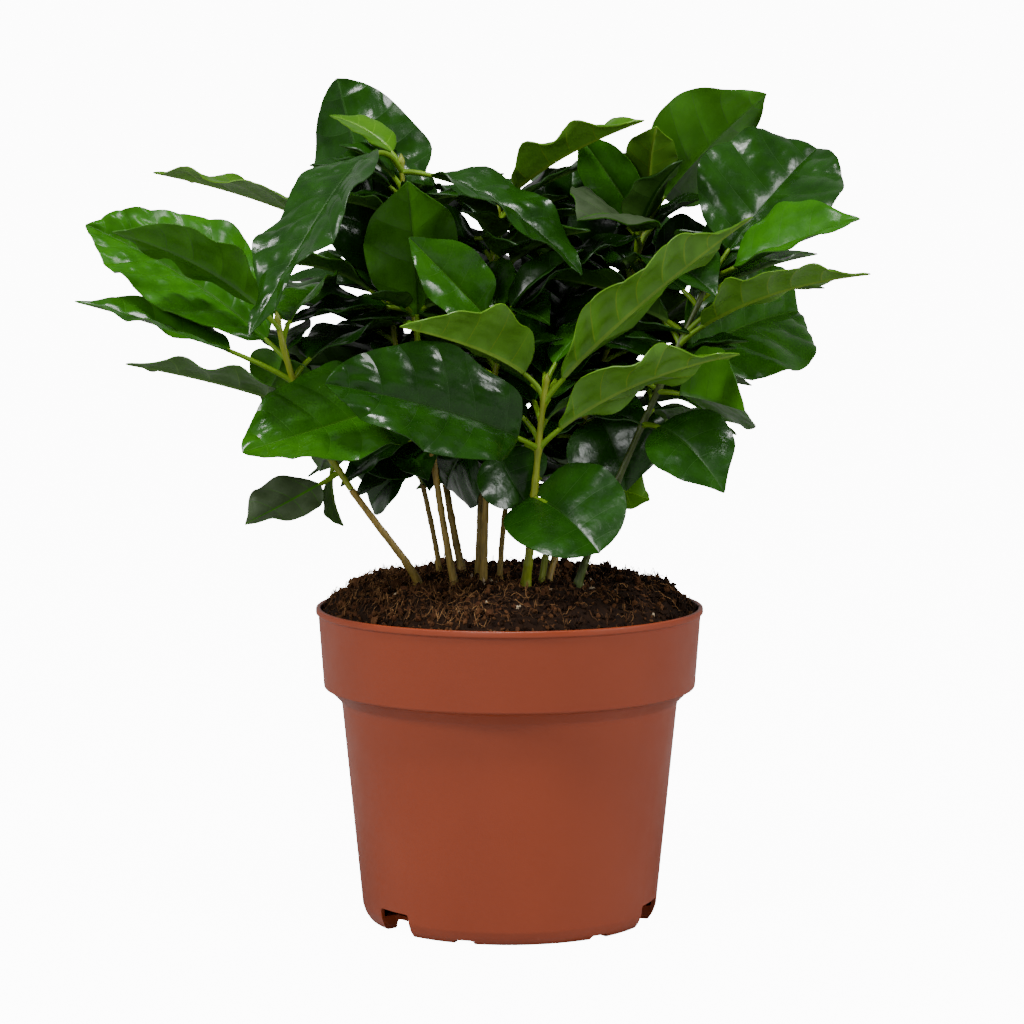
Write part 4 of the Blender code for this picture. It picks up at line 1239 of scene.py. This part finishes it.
def fibre_arrays(spice):
    """A thin root or fibre lying on the peat, with its ends free."""
    while True:
        radius, turn = spot_on_peat(spice, FIBRE_SPREAD[0])
        heading = spice.uniform(0, math.tau)
        x, y = radius * math.cos(turn), radius * math.sin(turn)
        if spice.random() < FIBRE_MOIST_SHARE + brown_share(x, y):
            break
    length, bend = spice.uniform(*FIBRE_LENGTHS), spice.uniform(-FIBRE_BEND, FIBRE_BEND)
    lift = spice.choice(FIBRE_LIFTS)
    points, steps = [], len(FIBRE_PROFILE)
    for step in range(steps):
        wave = math.sin(step * FIBRE_WAVE + turn) ** 2
        points.append((x, y, ground_at(x, y) + FIBRE_HOVER + lift * wave))
        heading += bend + spice.uniform(-FIBRE_KINK, FIBRE_KINK)
        ahead = (x + math.cos(heading) * length / steps, y + math.sin(heading) * length / steps)
        if math.hypot(*ahead) > soil_edge_radius() * FIBRE_SPREAD[1]:
            heading += math.pi
        x += math.cos(heading) * length / steps
        y += math.sin(heading) * length / steps
    thick = spice.uniform(*FIBRE_RADII)
    colour = finish_index(spice.choice(FIBRE_COLOURS))
    return tube_arrays(points, [thick * share for share in FIBRE_PROFILE], FIBRE_RING, colour)


# ---------------------------------------------------------------- modelling with operators

def spun(name, profile, steps):
    """A closed form turned round the Z axis from (radius, height) points."""
    mesh = bpy.data.meshes.new(name)
    points = [(radius * MM, 0.0, height * MM) for radius, height in profile]
    mesh.from_pydata(points, [(i, i + 1) for i in range(len(points) - 1)], [])
    piece = bpy.data.objects.new(name, mesh)
    bpy.context.scene.collection.objects.link(piece)
    select_only(piece)
    bpy.ops.object.mode_set(mode="EDIT")
    bpy.ops.mesh.select_all(action="SELECT")
    bpy.ops.mesh.spin(steps=steps, angle=math.tau, center=(0, 0, 0), axis=(0, 0, 1))
    bpy.ops.mesh.select_all(action="SELECT")
    bpy.ops.mesh.remove_doubles(threshold=WELD * MM)
    bpy.ops.mesh.normals_make_consistent(inside=False)
    bpy.ops.object.mode_set(mode="OBJECT")
    return piece


def body_radius(height):
    share = (height - BODY_FOOT_HEIGHT) / (SHOULDER_HEIGHT - BODY_FOOT_HEIGHT)
    return lerp(BODY_FOOT_RADIUS, SHOULDER_RADIUS, share)


def rounded(points, size):
    """The line with each inner corner cut by a small arc."""
    result = [points[0]]
    for before, corner, after in zip(points, points[1:], points[2:]):
        a, b, c = Vector(before), Vector(corner), Vector(after)
        reach = min(size, (a - b).length * CORNER_LIMIT, (c - b).length * CORNER_LIMIT)
        start, end = b + (a - b).normalized() * reach, b + (c - b).normalized() * reach
        for t in CORNER_STEPS:
            result.append(tuple(start * (1 - t) ** 2 + b * 2 * t * (1 - t) + end * t * t))
    return result + [points[-1]]


def pot_section():
    """Half the pot's section, up the inside from its floor's middle and down the outside."""
    floor, lip_foot = UNDERSIDE + FLOOR_THICKNESS, POT_HEIGHT - LIP_HEIGHT
    inside = [(0.0, floor), (body_radius(floor) - WALL, floor),
              (SHOULDER_RADIUS - WALL, SHOULDER_HEIGHT + ROUNDING),
              (COLLAR_FOOT_RADIUS - WALL, COLLAR_BOTTOM + ROUNDING),
              (RIM_RADIUS - WALL + LIP_LEAN[0], lip_foot),
              (RIM_RADIUS - WALL + LIP_LEAN[1], POT_HEIGHT)]
    outside = [(RIM_RADIUS + LIP_DEPTH, POT_HEIGHT), (RIM_RADIUS + LIP_DEPTH, lip_foot),
               (RIM_RADIUS - LIP_UNDERCUT[0], lip_foot - LIP_UNDERCUT[1]),
               (COLLAR_FOOT_RADIUS, COLLAR_BOTTOM + COLLAR_EDGE),
               (COLLAR_FOOT_RADIUS - COLLAR_LEDGE[0], COLLAR_BOTTOM - COLLAR_LEDGE[1]),
               (SHOULDER_RADIUS + SHOULDER_BEND[0], SHOULDER_HEIGHT + SHOULDER_BEND[1]),
               (SHOULDER_RADIUS, SHOULDER_HEIGHT - SHOULDER_BEND[2]),
               (BODY_FOOT_RADIUS, BODY_FOOT_HEIGHT),
               (BODY_FOOT_RADIUS - FOOT_TUCK[0], FOOT_TUCK[1])]
    foot = [(FOOT_OUTER_RADIUS - FOOT_EDGE, 0.0), (FOOT_INNER_RADIUS, 0.0),
            (FOOT_INNER_RADIUS - FOOT_SLOPE, UNDERSIDE),
            (PAD_RADIUS + FOOT_SLOPE, UNDERSIDE), (PAD_RADIUS, 0.0), (0.0, 0.0)]
    return rounded(inside + outside + foot, SECTION_ROUNDING)


def cut_box(piece, radius, turn, size):
    """Cut a box out of the piece: its centre is on the ground at a radius and a turn."""
    angle = math.radians(turn)
    deselect()
    place = (radius * math.cos(angle) * MM, radius * math.sin(angle) * MM, 0.0)
    bpy.ops.mesh.primitive_cube_add(size=1.0, location=place, rotation=(0, 0, angle))
    box = bpy.context.active_object
    box.scale = [length * MM for length in size]
    bpy.ops.object.transform_apply(location=True, rotation=True, scale=True)
    bevel = box.modifiers.new("Round", "BEVEL")
    bevel.width, bevel.segments = CUT_ROUNDING * MM, 2
    select_only(piece)
    cut = piece.modifiers.new("Cut", "BOOLEAN")
    cut.operation, cut.object, cut.solver = "DIFFERENCE", box, "EXACT"
    bpy.ops.object.modifier_apply(modifier="Cut")
    bpy.data.objects.remove(box, do_unlink=True)


def build_pot(settings):
    """The pot, with three notches and the gaps between its feet cut out of it."""
    pot = spun("nursery_pot", pot_section(), settings.segments)
    slot_radius = (FOOT_OUTER_RADIUS + FOOT_INNER_RADIUS) / 2
    for group in range(FOOT_GROUPS):
        centre = FOOT_CENTRE_TURN + group * 360.0 / FOOT_GROUPS
        for side in (-1, 1):
            cut_box(pot, slot_radius, centre + side * SLOT_OFFSET,
                    (SLOT_DEPTH, SLOT_WIDTH, 2 * SLOT_HEIGHT))
        cut_box(pot, FOOT_INNER_RADIUS - NOTCH_INSET + NOTCH_DEPTH / 2, centre + NOTCH_OFFSET,
                (NOTCH_DEPTH, NOTCH_WIDTH, 2 * NOTCH_HEIGHT))
    pot.data.materials.append(pot_finish(settings))
    smooth(pot, POT_CREASE)
    return pot


def build_peat(settings):
    """The peat: a crumbly heap on top, and sides and a floor that follow the pot's wall."""
    edge = soil_edge_radius()
    floor = UNDERSIDE + FLOOR_THICKNESS + SOIL_CLEARANCE
    side = floor + FLOOR_CHAMFER
    rings = settings.rings
    profile = [(edge * ring / rings, SOIL_EDGE_HEIGHT) for ring in range(rings + 1)]
    profile += [(COLLAR_FOOT_RADIUS - WALL - SOIL_CLEARANCE, COLLAR_BOTTOM + ROUNDING),
                (SHOULDER_RADIUS - WALL - SOIL_CLEARANCE, SHOULDER_HEIGHT + ROUNDING),
                (body_radius(side) - WALL - SOIL_CLEARANCE, side),
                (body_radius(floor) - WALL - FLOOR_CHAMFER, floor), (0.0, floor)]
    peat = spun("peat", profile, settings.segments)
    for vertex in peat.data.vertices:
        x, y, z = vertex.co / MM
        if z > SOIL_EDGE_HEIGHT - TOLERANCE:
            vertex.co.z = ground_at(x, y) * MM
    peat.data.materials.append(finish("peat"))
    smooth(peat, PEAT_CREASE)
    return peat


# ---------------------------------------------------------------- settings

def length_property(name, description, default):
    return FloatProperty(name=name, description=description, default=default,
                         subtype="DISTANCE", unit="LENGTH")


class LeafSettings(bpy.types.PropertyGroup):
    """Sizes of the leaves' fine shape."""

    thickness: length_property("Thickness", "Thickness of a blade between veins", 0.00035)
    vein_spacing: length_property("Vein spacing", "Distance between side veins", 0.0102)
    quilting: FloatProperty(name="Quilting", description="Height of the bulges between side "
                            "veins, as a share of their spacing", default=0.085)
    wave: FloatProperty(name="Waves", description="Strength of the long waves of the margin",
                        default=1.5)
    frill: length_property("Frill", "Height of the short waves of the margin", 0.0009)
    lobes: FloatProperty(name="Lobes", description="How much the outline swells and narrows",
                         default=0.04)


class StemSettings(bpy.types.PropertyGroup):
    """Sizes of the stems' fine shape."""

    bark_depth: length_property("Bark relief", "Depth of the fissures in the bark", 0.00012)


class PotSettings(bpy.types.PropertyGroup):
    """Shape and colours of the pot."""

    segments: IntProperty(name="Segments", description="Flat faces round the pot", default=144)
    colour: FloatVectorProperty(name="Colour", description="Colour of the plastic", size=4,
                                subtype="COLOR", default=linear("8a3614"), min=0.0, max=1.0)
    chalky: FloatVectorProperty(name="Chalky colour", description="Colour of its cloudy patches",
                                size=4, subtype="COLOR", default=linear("933c19"), min=0.0,
                                max=1.0)


class PeatSettings(bpy.types.PropertyGroup):
    """Size of the peat's grain."""

    segments: IntProperty(name="Segments", description="Faces round the heap", default=200)
    rings: IntProperty(name="Rings", description="Faces from the middle to the edge", default=60)
    crumbs: IntProperty(name="Crumbs", description="Small crumbs on the heap", default=CRUMBS)
    fibres: IntProperty(name="Fibres", description="Thin dry roots on the heap", default=FIBRES)


class StageSettings(bpy.types.PropertyGroup):
    """Camera and light."""

    distance: length_property("Camera distance", "Camera to the pot's axis", 1.0)
    height: length_property("Camera height", "Camera above the ground", 0.2288)
    tilt: FloatProperty(name="Tilt", description="How far the camera looks down",
                        default=math.radians(5.81), subtype="ANGLE", unit="ROTATION")
    lens: FloatProperty(name="Lens", description="Focal length in millimetres", default=113.5)
    glow: FloatProperty(name="Backdrop glow", description="Light that only the camera sees",
                        default=12.0)
    backdrop: FloatVectorProperty(name="Backdrop", description="Colour of the floor", size=4,
                                  subtype="COLOR", default=linear("a6a6a5"), min=0.0, max=1.0)


# ---------------------------------------------------------------- operators

class COFFEE_OT_pot(bpy.types.Operator):
    """Spin the pot and cut its notches and the gaps between its feet"""

    bl_idname = "coffee.pot"
    bl_label = "Nursery pot"

    def execute(self, context):
        dress(build_pot(context.scene.coffee_pot), "pot", "pot")
        return {"FINISHED"}


class COFFEE_OT_peat(bpy.types.Operator):
    """Make the peat with its crumbs, lumps, fibres and pale chips"""

    bl_idname = "coffee.peat"
    bl_label = "Peat"

    def execute(self, context):
        settings = context.scene.coffee_peat
        dress(build_peat(settings), "soil", "soil")
        spice = random.Random(SEED)
        small, large = lump_template(1), lump_template(2)
        parts = scatter(spice, settings.crumbs, CRUMB_SIZES, small, MOIST_CRUMBS, DRY_CRUMBS)
        parts += scatter(spice, LUMPS, LUMP_SIZES, large, MOIST_CRUMBS, DRY_CRUMBS, LUMP_SINK)
        crumbs = joined_mesh("peat_crumbs", parts)
        parts = scatter(spice, CHIPS, CHIP_SIZES, large, ("pale_chip",), ("pale_chip",),
                        flat=CHIP_FLATNESS, longer=CHIP_LENGTH)
        chips = joined_mesh("pale_chips", parts)
        fibres = joined_mesh("root_fibres", [fibre_arrays(spice) for _ in range(settings.fibres)])
        for piece in (crumbs, chips, fibres):
            give_finishes(piece)
            smooth(piece, CRUMB_CREASE)
            dress(piece, "soil")
        return {"FINISHED"}


class COFFEE_OT_stems(bpy.types.Operator):
    """Make the bare stems with their bark, and the green stems with buds and leaf stalks"""

    bl_idname = "coffee.stems"
    bl_label = "Stems"

    def execute(self, context):
        depth = context.scene.coffee_stems.bark_depth / MM
        bark_parts, green_parts = [], []
        for number, seedling in zip(SHOOTS, SEEDLINGS):
            bark_parts.append(bark_arrays(number, seedling, depth))
            green_parts += green_arrays(number, seedling, CROWN[number])
        bark = joined_mesh("bare_stems", bark_parts)
        green = joined_mesh("green_stems", green_parts)
        for piece in (bark, green):
            give_finishes(piece)
            smooth(piece, PLANT_CREASE)
        dress(bark, "stem", *[f"stem_{number:02d}" for number in SHOOTS])
        dress(green, "foliage", *[f"shoot_{number:02d}" for number in SHOOTS])
        return {"FINISHED"}


class COFFEE_OT_leaves(bpy.types.Operator):
    """Grow the leaves of each shoot"""

    bl_idname = "coffee.leaves"
    bl_label = "Leaves"

    def execute(self, context):
        settings = context.scene.coffee_leaves
        for number in SHOOTS:
            parts = [leaf_arrays(shape, age, settings, SEED * 31 + number * 100 + k, detail)
                     for k, (shape, age, detail) in enumerate(CROWN[number])]
            leaves = joined_mesh(f"leaves_{number:02d}", parts)
            give_finishes(leaves)
            smooth(leaves, PLANT_CREASE)
            dress(leaves, "foliage", f"shoot_{number:02d}")
        return {"FINISHED"}


# Each lamp: its name, place, what it points at, its side and its power.
LIGHTS = (
    ("key", (-1.0, -0.6, 0.9), (0.0, 0.0, 0.16), 0.35, 13.0),
    ("fill", (1.1, -0.5, 0.65), (0.0, 0.0, 0.14), 0.35, 10.0),
    ("top", (-0.1, -0.6, 1.6), (0.0, 0.0, 0.18), 0.3, 21.0),
    ("front", (-0.4, -1.5, 0.55), (0.0, 0.0, 0.18), 0.3, 4.0),
)
# Strength of the room's light from the camera's side, from behind, and as the camera sees it.
ROOM = (0.09, 0.42, 12.0)
FLOOR_RADIUS = 30.0
FLOOR_SIDES = 64
PAPER_ROUGHNESS = 0.9
CAMERA_SIDE = 0.00077          # the camera stands this far to the right of the pot's axis
SENSOR_WIDTH = 36.0


class COFFEE_OT_stage(bpy.types.Operator):
    """Set up the floor, the lights and the camera"""

    bl_idname = "coffee.stage"
    bl_label = "Stage"

    def paper(self, settings):
        """White paper that shows lighter than it is, so that the backdrop stays even."""
        material, tree, shader, _ = new_material("Paper, matt white")
        shader.inputs["Base Color"].default_value = settings.backdrop
        shader.inputs["Roughness"].default_value = PAPER_ROUGHNESS
        shader.inputs["Emission Color"].default_value = (1.0, 1.0, 1.0, 1.0)
        seen = add(tree, "ShaderNodeLightPath").outputs["Is Camera Ray"]
        glow = add(tree, "ShaderNodeMath", {"operation": "MULTIPLY"}, i0=seen, i1=settings.glow)
        tree.links.new(glow.outputs[0], shader.inputs["Emission Strength"])
        return material

    def studio(self):
        """A white room, darker towards the camera, so that edges catch the light behind."""
        world = bpy.data.worlds.new("Studio")
        world.use_nodes = True
        tree = world.node_tree
        background = tree.nodes["Background"]
        background.inputs["Color"].default_value = (1.0, 1.0, 1.0, 1.0)
        heading = add(tree, "ShaderNodeTexCoord").outputs["Generated"]
        parts = add(tree, "ShaderNodeSeparateXYZ", Vector=heading)
        depth = add(tree, "ShaderNodeMapRange", Value=parts.outputs["Y"], From_Min=-1.0,
                    From_Max=1.0, To_Min=ROOM[0], To_Max=ROOM[1])
        seen = add(tree, "ShaderNodeLightPath").outputs["Is Camera Ray"]
        strength = add(tree, "ShaderNodeMix", i0=seen, i2=depth.outputs["Result"], i3=ROOM[2])
        tree.links.new(strength.outputs[0], background.inputs["Strength"])
        return world

    def execute(self, context):
        settings = context.scene.coffee_stage
        deselect()
        bpy.ops.mesh.primitive_circle_add(vertices=FLOOR_SIDES, radius=FLOOR_RADIUS,
                                          fill_type="NGON")
        floor = context.active_object
        floor.name = "floor"
        floor.data.materials.append(self.paper(settings))
        context.scene.world = self.studio()
        for name, place, aim, size, power in LIGHTS:
            lamp = bpy.data.lights.new(name, "AREA")
            lamp.shape, lamp.size, lamp.energy = "SQUARE", size, power
            holder = bpy.data.objects.new(name, lamp)
            context.scene.collection.objects.link(holder)
            holder.location = place
            run = Vector(aim) - Vector(place)
            holder.rotation_euler = run.to_track_quat("-Z", "Y").to_euler()
        camera = bpy.data.objects.new("camera", bpy.data.cameras.new("camera"))
        context.scene.collection.objects.link(camera)
        camera.location = (CAMERA_SIDE, -settings.distance, settings.height)
        camera.rotation_euler = (math.pi / 2 - settings.tilt, 0.0, 0.0)
        camera.data.lens = settings.lens
        camera.data.sensor_width = SENSOR_WIDTH
        context.scene.camera = camera
        return {"FINISHED"}


class COFFEE_PT_panel(bpy.types.Panel):
    """Lists the pieces and their settings"""

    bl_idname = "COFFEE_PT_panel"
    bl_label = "Coffee plant"
    bl_space_type = "VIEW_3D"
    bl_region_type = "UI"
    bl_category = "Coffee plant"

    def draw(self, context):
        for operator, group_name, _ in PIECES:
            box = self.layout.box()
            box.operator(operator.bl_idname)
            settings = getattr(context.scene, group_name)
            for name in settings.__annotations__:
                box.prop(settings, name)


PIECES = (
    (COFFEE_OT_pot, "coffee_pot", PotSettings),
    (COFFEE_OT_peat, "coffee_peat", PeatSettings),
    (COFFEE_OT_stems, "coffee_stems", StemSettings),
    (COFFEE_OT_leaves, "coffee_leaves", LeafSettings),
    (COFFEE_OT_stage, "coffee_stage", StageSettings),
)
CROWN = grow_crown()


def register():
    for operator, group_name, group in PIECES:
        bpy.utils.register_class(group)
        setattr(bpy.types.Scene, group_name, PointerProperty(type=group))
        bpy.utils.register_class(operator)
    bpy.utils.register_class(COFFEE_PT_panel)


def unregister():
    bpy.utils.unregister_class(COFFEE_PT_panel)
    for operator, group_name, group in reversed(PIECES):
        bpy.utils.unregister_class(operator)
        delattr(bpy.types.Scene, group_name)
        bpy.utils.unregister_class(group)


def main():
    register()
    bpy.ops.coffee.pot()
    bpy.ops.coffee.peat()
    bpy.ops.coffee.stems()
    bpy.ops.coffee.leaves()
    bpy.ops.coffee.stage()


if __name__ == "__main__":
    main()
